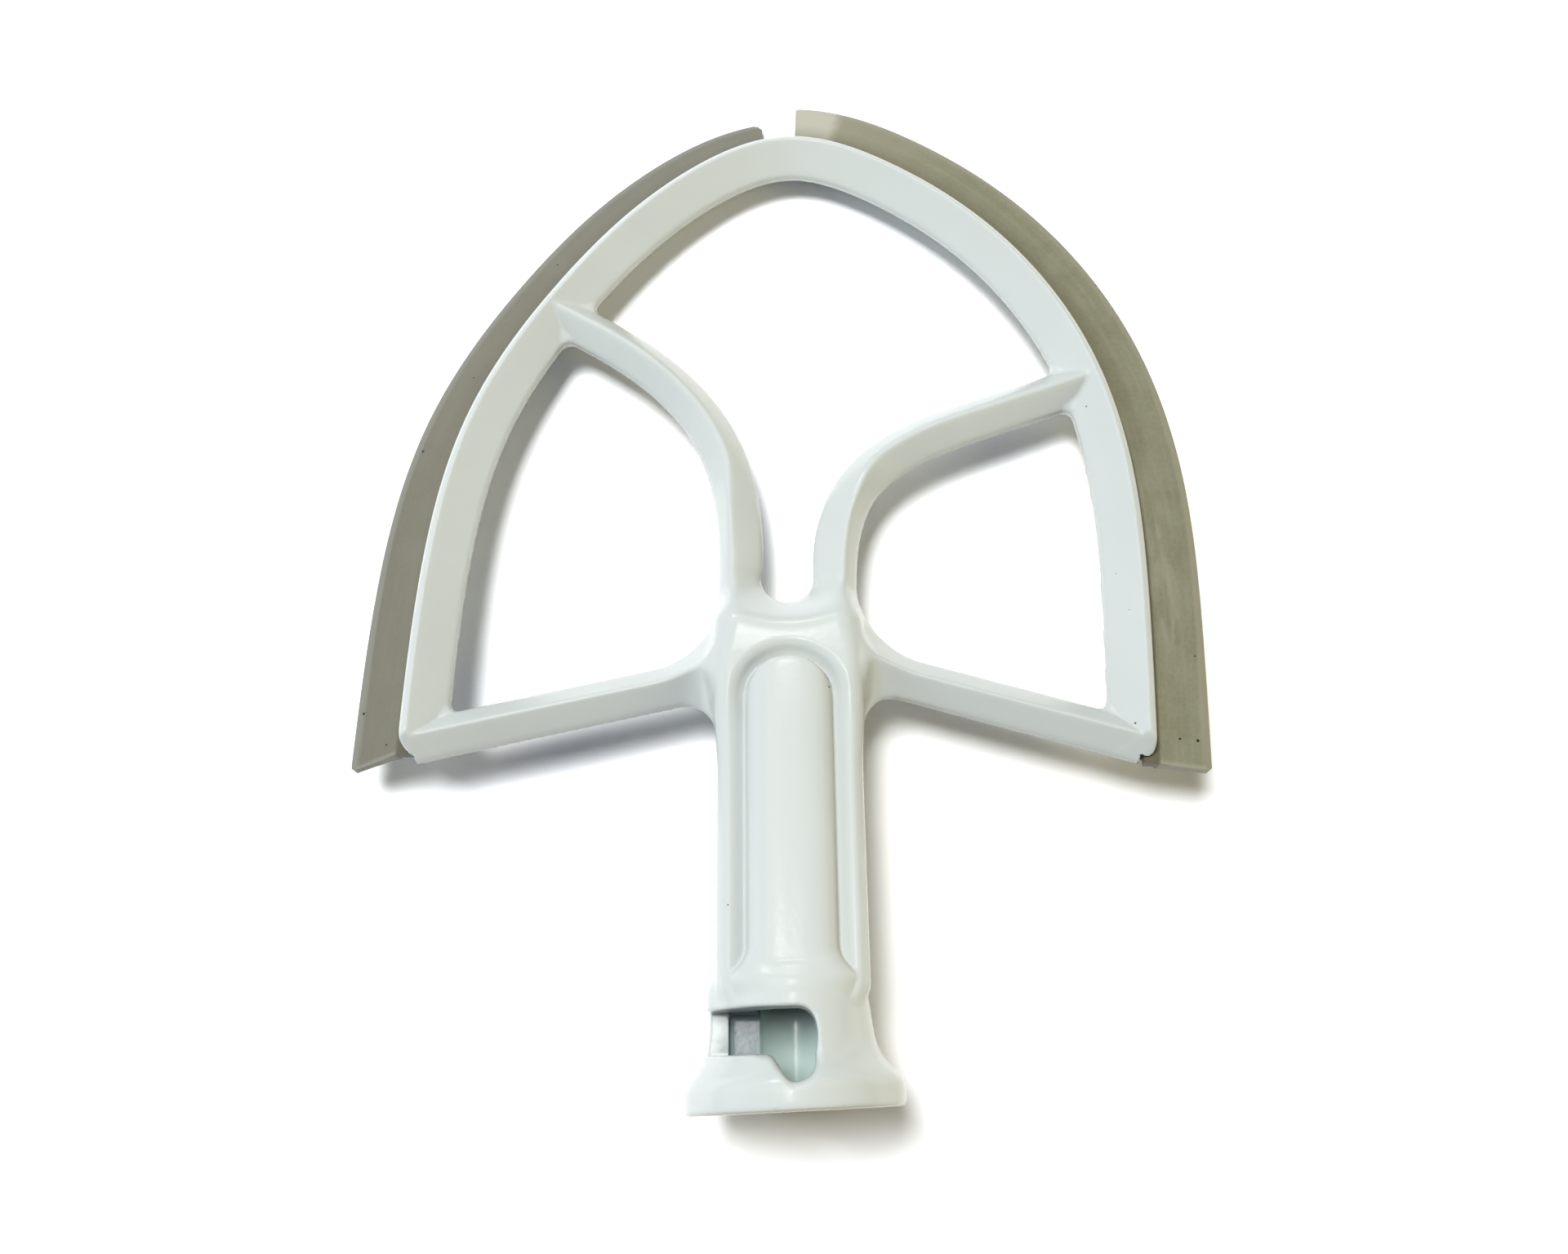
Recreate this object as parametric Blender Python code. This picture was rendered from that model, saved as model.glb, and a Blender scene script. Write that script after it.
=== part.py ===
# Flat beater for a stand mixer with a flexible wiper along each side.
# Seen from the front: the hub's open end is at y = 0, the shaft runs along +Y, +Z is the front face.
# Lengths are in metres.
import math

import bmesh
import bpy
import numpy as np
from mathutils import Vector

# Arch: knots of the front crest line, from each lower corner up to the apex
ARCH_LEFT = ((-0.0664, 0.0570), (-0.0653, 0.0880), (-0.0588, 0.1232), (-0.0427, 0.1524), (-0.0205, 0.1762))
ARCH_APEX = (0.0020, 0.1858)
ARCH_RIGHT = ((0.0222, 0.1786), (0.0440, 0.1598), (0.0575, 0.1366), (0.0634, 0.1090), (0.0634, 0.0820),
              (0.0617, 0.0550))
ARCH_WIDTH = 0.0070
ARCH_CREST_DEPTH = 0.0108
ARCH_INNER_DEPTH = 0.0026
SHOULDER_RUN = 0.0008
SHOULDER_DROP = 0.0014
CREST_FLAT = 0.0006

# Lower bars and arms: a roof section with a rounded ridge on both faces
BAR_WIDTH = 0.0076
BAR_DEPTH = 0.0090
BAR_EDGE = 0.0020
RIDGE_FLAT = 0.0016
LEFT_BAR_ROOT = 0.0742
RIGHT_BAR_ROOT = 0.0768
BAR_FILLET = 0.0098
BAR_SETBACK = 0.0018
ARM_WIDTH = 0.0082
ARM_DEPTH = 0.0098
ARM_SPACING = 0.0172
ARM_SETBACK = 0.0012
LEFT_ARM_BEND = ((-0.0083, 0.0980), (-0.0121, 0.1166), (-0.0245, 0.1324))
RIGHT_ARM_BEND = ((0.0088, 0.0950), (0.0130, 0.1078), (0.0220, 0.1156), (0.0370, 0.1216))
LEFT_ARM_REACH = 0.1466
RIGHT_ARM_REACH = 0.1290

# Shaft and junction
SHAFT_WIDTH = 0.0244
SHAFT_DEPTH = 0.0160
SHAFT_CORNER = 0.0030
JUNCTION_WIDTH = 0.0256
JUNCTION_DEPTH = 0.0184
SADDLE_DEPTH = 0.0153
VALLEY_HEIGHT = 0.0860
VALLEY_DEPTH = 0.0090
TUBE_WIDTH = 0.0154
TUBE_DEPTH = 0.0206
TUBE_TOP = 0.0724
TUBE_END_CURVE = 0.35
TROUGH_WIDTH = 0.0025
TROUGH_DEPTH = 0.0011

# Hub
FLANGE_DIAMETER = 0.0348
FLANGE_HEIGHT = 0.0042
FLANGE_ROUND = 0.0009
FLARE_HEIGHT = 0.0086
FLARE_CURVE = 1.9
BARREL_DIAMETER = 0.0247
BARREL_TOP = 0.0205
BARREL_ROUND = 0.0024
BORE_DIAMETER = 0.0128
BORE_DEPTH = 0.0450
KEYWAY_WIDTH = 0.0066
KEYWAY_REACH = 0.0105
KEYWAY_WALL = 0.0035
SLOT_BOTTOM = 0.0082
SLOT_HEIGHT = 0.0069
SLOT_END = 0.0036
SLOT_DROP = 0.0024
SLOT_ROUND = 0.0023
NOTCH_WIDTH = 0.0068
NOTCH_DEPTH = 0.0043

# Wipers
WIPER_PROJECTION = 0.0103
WIPER_ROOT_RISE = -0.0003
LEFT_TIP_RISE = -0.0044
RIGHT_TIP_RISE = -0.0002
WIPER_THICKNESS = 0.0022
WIPER_BEVEL = 0.0006
PAD_DEPTH = 0.0044
PAD_THICKNESS = 0.0014
TONGUE_DEPTH = 0.0022
TONGUE_HEIGHT = 0.0024
WIPER_END_GAP = 0.0058
WIPER_OVERHANG = 0.0006
FIT_CLEARANCE = 0.0003

# Fineness of the facets, and how far a cutter stands clear
ARCH_STEP = 0.0065
ARM_STATIONS = 16
FILLET_STATIONS = 7
ROUND_SEGMENTS = 40
CORNER_SEGMENTS = 3
PASS_THROUGH = 0.0300
SHARP_ANGLE = 35.0


class Path:
    """A smooth planar curve through knots, measured by the distance along it."""

    samples_per_span = 60

    def __init__(self, knots):
        knots = np.array(knots, dtype=float)
        spans = np.hypot(*np.diff(knots, axis=0).T)
        stations = np.concatenate(([0.0], np.cumsum(spans)))
        fine = np.linspace(0.0, stations[-1], self.samples_per_span * len(spans) + 1)
        self.points = np.column_stack([self.natural_spline(stations, knots[:, k], fine) for k in (0, 1)])
        steps = np.hypot(*np.diff(self.points, axis=0).T)
        self.distance = np.concatenate(([0.0], np.cumsum(steps)))
        self.slopes = np.gradient(self.points, self.distance, axis=0)
        self.length = self.distance[-1]

    @staticmethod
    def natural_spline(x, y, at):
        """Cubic spline with free ends."""
        n = len(x)
        h = np.diff(x)
        system = np.eye(n)
        right = np.zeros(n)
        for i in range(1, n - 1):
            system[i, i - 1:i + 2] = h[i - 1], 2.0 * (h[i - 1] + h[i]), h[i]
            right[i] = 6.0 * ((y[i + 1] - y[i]) / h[i] - (y[i] - y[i - 1]) / h[i - 1])
        bend = np.linalg.solve(system, right)
        i = np.clip(np.searchsorted(x, at) - 1, 0, n - 2)
        before = at - x[i]
        after = x[i + 1] - at
        return (bend[i] * after ** 3 / (6.0 * h[i]) + bend[i + 1] * before ** 3 / (6.0 * h[i])
                + (y[i] / h[i] - bend[i] * h[i] / 6.0) * after
                + (y[i + 1] / h[i] - bend[i + 1] * h[i] / 6.0) * before)

    def frame(self, distance):
        """Point, direction and left-hand normal; past an end the curve runs on straight."""
        inside = min(max(distance, 0.0), self.length)
        point = Vector([np.interp(inside, self.distance, self.points[:, k]) for k in (0, 1)])
        along = Vector([np.interp(inside, self.distance, self.slopes[:, k]) for k in (0, 1)]).normalized()
        return point + along * (distance - inside), along, Vector((-along.y, along.x))

    def find(self, axis, value, start, stop):
        """Distance at which a coordinate first crosses a value between two distances."""
        marks = np.linspace(start, stop, 2000)
        side = np.interp(marks, self.distance, self.points[:, axis]) - value
        crossing = np.nonzero(side[:-1] * side[1:] <= 0.0)[0]
        return float(marks[crossing[0]])


def new_object(name, mesh_builder, guide=False):
    """Closed mesh object; a guide is only an operand of a Boolean."""
    bmesh.ops.recalc_face_normals(mesh_builder, faces=mesh_builder.faces)
    mesh = bpy.data.meshes.new(name)
    mesh_builder.to_mesh(mesh)
    mesh_builder.free()
    item = bpy.data.objects.new(name, mesh)
    bpy.context.scene.collection.objects.link(item)
    item.hide_render = guide
    if guide:
        item.display_type = 'WIRE'
    return item


def loft(name, rings, guide=False):
    """Skin over equal rings of points, closed at both ends."""
    builder = bmesh.new()
    loops = [[builder.verts.new(point) for point in ring] for ring in rings]
    count = len(rings[0])
    for lower, upper in zip(loops, loops[1:]):
        for i in range(count):
            j = (i + 1) % count
            builder.faces.new((lower[i], lower[j], upper[j], upper[i]))
    builder.faces.new(loops[0])
    builder.faces.new(loops[-1])
    return new_object(name, builder, guide)


def path_ring(path, distance, section):
    """A section of (outward, height) points set square to a planar path."""
    point, _, outward = path.frame(distance)
    return [Vector((*(point + outward * u), z)) for u, z in section]


def roof_section(width, depth):
    """Bar section: sharp parting edges at the sides and a flat-topped ridge on each face."""
    half = [(width / 2, BAR_EDGE / 2), (RIDGE_FLAT / 2, depth / 2)]
    upper = half + [(-u, z) for u, z in reversed(half)]
    return upper + [(u, -z) for u, z in reversed(upper)]


def round_rectangle(half_width, half_depth, radius):
    """Section of (x, z) points with rounded corners."""
    points = []
    for quarter in range(4):
        sign_x = (1, -1, -1, 1)[quarter]
        sign_z = (1, 1, -1, -1)[quarter]
        for step in range(CORNER_SEGMENTS + 1):
            angle = math.pi / 2 * (quarter + step / CORNER_SEGMENTS)
            points.append((sign_x * (half_width - radius) + radius * math.cos(angle),
                           sign_z * (half_depth - radius) + radius * math.sin(angle)))
    return points


def turned(name, profile, guide=False):
    """Body of rings about the Y axis from (y, radius in x, radius in z, offset in x) stations."""
    turns = [2 * math.pi * k / ROUND_SEGMENTS for k in range(ROUND_SEGMENTS)]
    rings = [[Vector((shift + rx * math.cos(a), y, rz * math.sin(a))) for a in turns]
             for y, rx, rz, shift in profile]
    return loft(name, rings, guide)


def prism(name, outline, low, high):
    """Cutter with a flat (x, y) outline, standing from one height to another."""
    rings = [[Vector((x, y, z)) for x, y in outline] for z in (low, high)]
    return loft(name, rings, guide=True)


def capsule(center_x, half_width, low, high, round_low=False):
    """Outline of (x, y) points with a round top end, and a round or square bottom end."""
    steps = ROUND_SEGMENTS // 2
    top = [(center_x + half_width * math.cos(math.pi * k / steps),
            high - half_width + half_width * math.sin(math.pi * k / steps)) for k in range(steps + 1)]
    if not round_low:
        return top + [(center_x - half_width, low), (center_x + half_width, low)]
    bottom = [(center_x - half_width * math.cos(math.pi * k / steps),
               low + half_width - half_width * math.sin(math.pi * k / steps)) for k in range(steps + 1)]
    return top + bottom


def combine(item, operand, operation):
    """Add or remove another solid."""
    modifier = item.modifiers.new(operation.title() + ' ' + operand.name, 'BOOLEAN')
    modifier.operation = operation
    modifier.object = operand
    modifier.solver = 'EXACT'


def material(name, colour, roughness):
    """Plain surface of one colour."""
    finish = bpy.data.materials.new(name)
    finish.use_nodes = True
    surface = finish.node_tree.nodes['Principled BSDF']
    surface.inputs['Base Color'].default_value = (*colour, 1.0)
    surface.inputs['Roughness'].default_value = roughness
    surface.inputs['Metallic'].default_value = 0.0
    return finish


def finish_object(item, finish):
    """Material and smooth shading with sharp edges kept."""
    item.data.materials.append(finish)
    item.data.shade_smooth()
    item.data.set_sharp_from_angle(angle=math.radians(SHARP_ANGLE))


def even_marks(start, stop, step):
    """Distances from start to stop, evenly spread and no farther apart than the step."""
    count = max(2, math.ceil(abs(stop - start) / step) + 1)
    return np.linspace(start, stop, count)


def make_arch(arch):
    """Outer arch: a wedge that thickens from its inner edge to the crest near the outer wall."""
    crest = ARCH_CREST_DEPTH / 2
    upper = [(-ARCH_WIDTH, ARCH_INNER_DEPTH / 2), (-CREST_FLAT, crest), (0.0, crest - CREST_FLAT / 2),
             (SHOULDER_RUN, crest - SHOULDER_DROP)]
    section = upper + [(u, -z) for u, z in reversed(upper)]
    rings = [path_ring(arch, mark, section) for mark in even_marks(0.0, arch.length, ARCH_STEP)]
    return loft('arch_form', rings, guide=True)


def make_bar(name, arch, from_start, root_height):
    """Lower bar from a corner of the arch to the shaft, with a fillet of growing width at its root."""
    corner_mark = BAR_WIDTH / 2 if from_start else arch.length - BAR_WIDTH / 2
    corner, _, outward = arch.frame(corner_mark)
    start = corner - outward * BAR_SETBACK
    root = Vector((0.0, root_height))
    stretch = (root - start).length / abs(start.x)
    side = abs(start.x) - JUNCTION_WIDTH / 2
    marks = [0.0, side - BAR_FILLET]
    marks += [side - BAR_FILLET * (1.0 - k / FILLET_STATIONS) for k in range(1, FILLET_STATIONS + 1)]
    marks.append(abs(start.x))
    rings = []
    for mark in marks:
        reach = min(max(mark - side + BAR_FILLET, 0.0), BAR_FILLET)
        widening = BAR_FILLET - math.sqrt(BAR_FILLET ** 2 - reach ** 2)
        middle = start.lerp(root, mark / abs(start.x))
        section = roof_section(BAR_WIDTH * stretch + 2 * widening, BAR_DEPTH)
        rings.append([Vector((middle.x, middle.y + v, z)) for v, z in section])
    return loft(name, rings, guide=True)


def make_arm(name, arch, side, bend, reach):
    """Arm that rises from the junction, bends outward and dies into the arch's sloping face."""
    apex_mark = arch.find(0, ARCH_APEX[0], 0.0, arch.length)
    span = (0.0, apex_mark) if side < 0 else (apex_mark, arch.length)
    meeting, _, outward = arch.frame(arch.find(1, reach, *span))
    foot = Vector((side * ARM_SPACING / 2, VALLEY_HEIGHT - BAR_WIDTH))
    path = Path([foot, *bend, meeting - outward * ARM_SETBACK])
    rings = [path_ring(path, mark, roof_section(ARM_WIDTH, ARM_DEPTH))
             for mark in np.linspace(0.0, path.length, ARM_STATIONS)]
    return loft(name, rings, guide=True)


def make_shaft():
    """Shaft of rounded oblong section that swells at the junction and thins to the valley."""
    valley_radius = (ARM_SPACING - ARM_WIDTH) / 2
    top = VALLEY_HEIGHT + valley_radius
    swell = TUBE_TOP + TROUGH_WIDTH
    stations = [
        (BARREL_TOP - BARREL_ROUND, SHAFT_WIDTH, SHAFT_DEPTH),
        (SLOT_BOTTOM + BORE_DEPTH, SHAFT_WIDTH, SHAFT_DEPTH),
        (TUBE_TOP - TUBE_WIDTH / 2, JUNCTION_WIDTH, SHAFT_DEPTH),
        (swell, JUNCTION_WIDTH, JUNCTION_DEPTH),
        ((swell + VALLEY_HEIGHT) / 2, JUNCTION_WIDTH, SADDLE_DEPTH),
        (VALLEY_HEIGHT, JUNCTION_WIDTH, VALLEY_DEPTH),
        (top, JUNCTION_WIDTH - SHAFT_CORNER, VALLEY_DEPTH - SHAFT_CORNER / 2),
    ]
    rings = []
    for y, width, depth in stations:
        outline = round_rectangle(width / 2, depth / 2, SHAFT_CORNER)
        rings.append([Vector((x, y, z)) for x, z in outline])
    return loft('beater_frame', rings)


def make_tube():
    """Raised half-round tube along the shaft, with a blunt round top end."""
    half = TUBE_WIDTH / 2
    floor = SHAFT_DEPTH / 2 - TROUGH_DEPTH
    profile = [(BARREL_TOP - BARREL_ROUND, half, TUBE_DEPTH / 2, 0.0)]
    for k in range(FILLET_STATIONS):
        angle = math.pi / 2 * k / FILLET_STATIONS
        shrink = math.cos(angle)
        depth = floor + (TUBE_DEPTH / 2 - floor) * shrink ** TUBE_END_CURVE
        profile.append((TUBE_TOP - half + half * math.sin(angle), half * shrink, depth, 0.0))
    return turned('tube_form', profile, guide=True)


def make_barrel():
    """Hub barrel that flares to the end flange."""
    rim = FLANGE_DIAMETER / 2
    barrel = BARREL_DIAMETER / 2
    profile = [(0.0, rim - FLANGE_ROUND), (FLANGE_ROUND, rim), (FLANGE_HEIGHT - FLANGE_ROUND, rim)]
    for k in range(FILLET_STATIONS + 1):
        angle = math.pi / 2 * k / FILLET_STATIONS
        profile.append((FLANGE_HEIGHT + FLARE_HEIGHT * math.sin(angle),
                        barrel + (rim - FLANGE_ROUND - barrel) * (1.0 - math.sin(angle)) ** FLARE_CURVE))
    for k in range(CORNER_SEGMENTS + 1):
        angle = math.pi / 2 * k / CORNER_SEGMENTS
        profile.append((BARREL_TOP - BARREL_ROUND + BARREL_ROUND * math.sin(angle),
                        barrel - BARREL_ROUND + BARREL_ROUND * math.cos(angle)))
    return turned('barrel_form', [(y, r, r, 0.0) for y, r in profile], guide=True)


def make_bulge():
    """Swelling of the barrel that keeps a wall round the keyway."""
    reach = KEYWAY_REACH + KEYWAY_WALL
    radius = KEYWAY_WIDTH / 2 + KEYWAY_WALL
    dome = SLOT_BOTTOM + SLOT_HEIGHT + KEYWAY_WALL / 2
    profile = [(FLANGE_ROUND, radius, radius, radius - reach)]
    for k in range(FILLET_STATIONS):
        angle = math.pi / 2 * k / FILLET_STATIONS
        shrink = math.cos(angle)
        profile.append((dome + KEYWAY_WALL * math.sin(angle), radius * shrink, radius * shrink, radius - reach))
    return turned('bulge_form', profile, guide=True)


def make_hub_cuts():
    """Bore, keyway from the open end, and the J-shaped slot with its notch."""
    bore = BORE_DIAMETER / 2
    rim = FLANGE_DIAMETER / 2
    slot_top = SLOT_BOTTOM + SLOT_HEIGHT
    notch = NOTCH_WIDTH / 2
    keyway_outline = [(-KEYWAY_REACH, -FIT_CLEARANCE), (0.0, -FIT_CLEARANCE),
                      (0.0, slot_top - FIT_CLEARANCE), (-KEYWAY_REACH, slot_top - FIT_CLEARANCE)]
    slot_outline = [(-rim - PASS_THROUGH, SLOT_BOTTOM), (SLOT_END - SLOT_ROUND, SLOT_BOTTOM)]
    slot_outline += [(SLOT_END, SLOT_BOTTOM + SLOT_ROUND), (SLOT_END, slot_top - SLOT_ROUND)]
    for k in range(CORNER_SEGMENTS + 1):
        angle = math.pi / 2 * k / CORNER_SEGMENTS
        slot_outline.append((SLOT_END - SLOT_ROUND + SLOT_ROUND * math.cos(angle),
                             slot_top - SLOT_ROUND + SLOT_ROUND * math.sin(angle)))
    slot_outline.append((-rim - PASS_THROUGH, slot_top))
    notch_center = SLOT_END - notch
    notch_outline = capsule(notch_center, notch, SLOT_BOTTOM - NOTCH_DEPTH, slot_top - SLOT_ROUND, round_low=True)
    return [
        turned('bore_cut', [(-FIT_CLEARANCE, bore, bore, 0.0), (BORE_DEPTH, bore, bore, 0.0)], guide=True),
        prism('keyway_cut', keyway_outline, -KEYWAY_WIDTH / 2, KEYWAY_WIDTH / 2),
        prism('slot_cut', slot_outline, -SLOT_DROP, rim + PASS_THROUGH),
        prism('notch_cut', notch_outline, 0.0, rim + PASS_THROUGH),
    ]


def wiper_span(arch, side):
    """Distances along the arch where a wiper starts and ends, from its lower to its upper end."""
    axis_mark = arch.find(0, 0.0, 0.0, arch.length)
    if side < 0:
        return -WIPER_OVERHANG, axis_mark - WIPER_END_GAP / 2
    return arch.length + WIPER_OVERHANG, axis_mark + WIPER_END_GAP / 2


def tongue_section(clearance):
    """Tongue of the wiper, or with a clearance the groove that takes it."""
    inner = SHOULDER_RUN - TONGUE_DEPTH - clearance
    outer = SHOULDER_RUN + (PAD_THICKNESS if clearance else 0.0)
    half = TONGUE_HEIGHT / 2 + clearance
    return [(inner, -half), (outer, -half), (outer, half), (inner, half)]


def wiper_section(tip_rise):
    """Wiper: tongue, root pad against the arch's wall, and a blade whose tip rises or drops from its root."""
    wall = SHOULDER_RUN
    seat = wall + FIT_CLEARANCE
    pad = PAD_DEPTH / 2
    root = seat + PAD_THICKNESS
    half = WIPER_THICKNESS / 2
    tip = WIPER_PROJECTION
    tongue_in = wall - TONGUE_DEPTH
    tongue = TONGUE_HEIGHT / 2
    lean = tip_rise - WIPER_ROOT_RISE
    root_rise = WIPER_ROOT_RISE + lean * (root + PAD_THICKNESS - seat) / (tip - seat)
    return [
        (tongue_in, -tongue), (seat, -tongue), (seat, -pad), (root - PAD_THICKNESS / 2, -pad),
        (root + PAD_THICKNESS, root_rise - half), (tip - WIPER_BEVEL, tip_rise - half),
        (tip, tip_rise - half + WIPER_BEVEL), (tip, tip_rise + half - WIPER_BEVEL),
        (tip - WIPER_BEVEL, tip_rise + half), (root + PAD_THICKNESS, root_rise + half),
        (root - PAD_THICKNESS / 2, pad), (seat, pad), (seat, tongue), (tongue_in, tongue),
    ]


def make_groove(name, arch, side):
    """Groove in the arch's outer wall; it runs out at the corner and stops past the wiper's upper end."""
    low, high = wiper_span(arch, side)
    open_end = low + side * ARCH_WIDTH
    closed_end = high - side * FIT_CLEARANCE
    rings = [path_ring(arch, mark, tongue_section(FIT_CLEARANCE))
             for mark in even_marks(open_end, closed_end, ARCH_STEP)]
    return loft(name, rings, guide=True)


def make_wiper(name, arch, side, tip_rise, finish):
    """Wiper whose origin lies on its flexing axis, the chord between the ends of its root."""
    low, high = wiper_span(arch, side)
    rings = [path_ring(arch, mark, wiper_section(tip_rise)) for mark in even_marks(low, high, ARCH_STEP)]
    point, _, outward = arch.frame(low)
    origin = Vector((*(point + outward * SHOULDER_RUN), 0.0))
    rings = [[vertex - origin for vertex in ring] for ring in rings]
    wiper = loft(name, rings)
    wiper.location = origin
    finish_object(wiper, finish)
    end_point, _, end_outward = arch.frame(high)
    end = Vector((*(end_point + end_outward * SHOULDER_RUN), 0.0))
    print(name, 'flexing axis from', [round(v, 5) for v in origin], 'to', [round(v, 5) for v in end],
          'direction', [round(v, 5) for v in (end - origin).normalized()])
    return wiper


def make_frame(arch, finish):
    """The one-piece casting."""
    frame = make_shaft()
    valley = (ARM_SPACING - ARM_WIDTH) / 2
    pocket_width = TUBE_WIDTH / 2 + TROUGH_WIDTH
    pocket = capsule(0.0, pocket_width, BARREL_TOP - BARREL_ROUND - PASS_THROUGH, TUBE_TOP + TROUGH_WIDTH)
    valley_outline = capsule(0.0, valley, VALLEY_HEIGHT, VALLEY_HEIGHT + PASS_THROUGH, round_low=True)
    floor = SHAFT_DEPTH / 2 - TROUGH_DEPTH
    combine(frame, prism('front_trough_cut', pocket, floor, floor + PASS_THROUGH), 'DIFFERENCE')
    combine(frame, prism('rear_trough_cut', pocket, -floor - PASS_THROUGH, -floor), 'DIFFERENCE')
    combine(frame, prism('valley_cut', valley_outline, -PASS_THROUGH, PASS_THROUGH), 'DIFFERENCE')
    added = [
        make_tube(),
        make_barrel(),
        make_bulge(),
        make_bar('left_bar_form', arch, True, LEFT_BAR_ROOT),
        make_bar('right_bar_form', arch, False, RIGHT_BAR_ROOT),
        make_arm('left_arm_form', arch, -1, LEFT_ARM_BEND, LEFT_ARM_REACH),
        make_arm('right_arm_form', arch, 1, RIGHT_ARM_BEND, RIGHT_ARM_REACH),
        make_arch(arch),
    ]
    for form in added:
        combine(frame, form, 'UNION')
    removed = [make_groove('left_groove_cut', arch, -1), make_groove('right_groove_cut', arch, 1)]
    for cut in removed + make_hub_cuts():
        combine(frame, cut, 'DIFFERENCE')
    finish_object(frame, finish)
    return frame


def main():
    for item in list(bpy.data.objects):
        bpy.data.objects.remove(item)
    arch = Path([*ARCH_LEFT, ARCH_APEX, *ARCH_RIGHT])
    make_frame(arch, material('white_coating', (0.79, 0.85, 0.82), 0.30))
    make_wiper('left_wiper', arch, -1, LEFT_TIP_RISE, material('grey_wiper', (0.29, 0.285, 0.238), 0.55))
    make_wiper('right_wiper', arch, 1, RIGHT_TIP_RISE, material('pale_grey_wiper', (0.37, 0.36, 0.27), 0.55))


main()
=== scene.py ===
import math

import bpy
import numpy as np
from mathutils import Matrix, Vector


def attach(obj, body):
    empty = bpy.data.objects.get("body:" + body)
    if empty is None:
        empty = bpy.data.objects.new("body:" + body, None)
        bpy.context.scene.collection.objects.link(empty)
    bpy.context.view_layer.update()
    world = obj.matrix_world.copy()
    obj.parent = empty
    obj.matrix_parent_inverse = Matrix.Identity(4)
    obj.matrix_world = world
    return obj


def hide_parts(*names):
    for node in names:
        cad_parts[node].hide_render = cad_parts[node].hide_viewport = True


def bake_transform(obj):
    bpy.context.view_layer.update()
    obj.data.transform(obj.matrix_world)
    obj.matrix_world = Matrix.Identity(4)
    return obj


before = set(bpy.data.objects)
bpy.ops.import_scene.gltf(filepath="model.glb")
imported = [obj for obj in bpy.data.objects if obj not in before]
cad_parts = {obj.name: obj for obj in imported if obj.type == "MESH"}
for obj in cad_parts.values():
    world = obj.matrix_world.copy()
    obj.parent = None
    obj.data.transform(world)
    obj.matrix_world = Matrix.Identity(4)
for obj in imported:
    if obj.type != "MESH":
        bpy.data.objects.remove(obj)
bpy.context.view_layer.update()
mm = 0.001
print("frame loaded:", ", ".join(sorted(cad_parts)))


# small helpers for node trees

class Wire:  # an output socket that can be used in Python arithmetic
    def __init__(self, sheet, socket):
        self.sheet = sheet
        self.socket = socket

    def calc(self, operation, first, second):
        return self.sheet.node("ShaderNodeMath", {"operation": operation}, {0: first, 1: second})

    def __add__(self, other):
        return self.calc("ADD", self, other)

    def __radd__(self, other):
        return self.calc("ADD", other, self)

    def __mul__(self, other):
        return self.calc("MULTIPLY", self, other)

    def __rmul__(self, other):
        return self.calc("MULTIPLY", other, self)


class Sheet:  # a node tree that is filled node by node
    def __init__(self, tree):
        self.tree = tree

    def node(self, kind, settings=None, sockets=None, out=0):
        made = self.tree.nodes.new(kind)
        for key, value in (settings or {}).items():
            if key == "stops":
                ramp = made.color_ramp.elements
                while len(ramp) < len(value):
                    ramp.new(0.5)
                for element, (place, shade) in zip(ramp, value):
                    element.position = place
                    element.color = shade
            else:
                setattr(made, key, value)
        for key, value in (sockets or {}).items():
            if isinstance(value, Wire):
                self.tree.links.new(value.socket, made.inputs[key])
            else:
                made.inputs[key].default_value = value
        return Wire(self, made.outputs[out]) if made.outputs else made


def newMaterial(name):
    made = bpy.data.materials.new(name)
    made.use_nodes = True
    made.node_tree.nodes.clear()
    return made, Sheet(made.node_tree)


# planar paths

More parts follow.
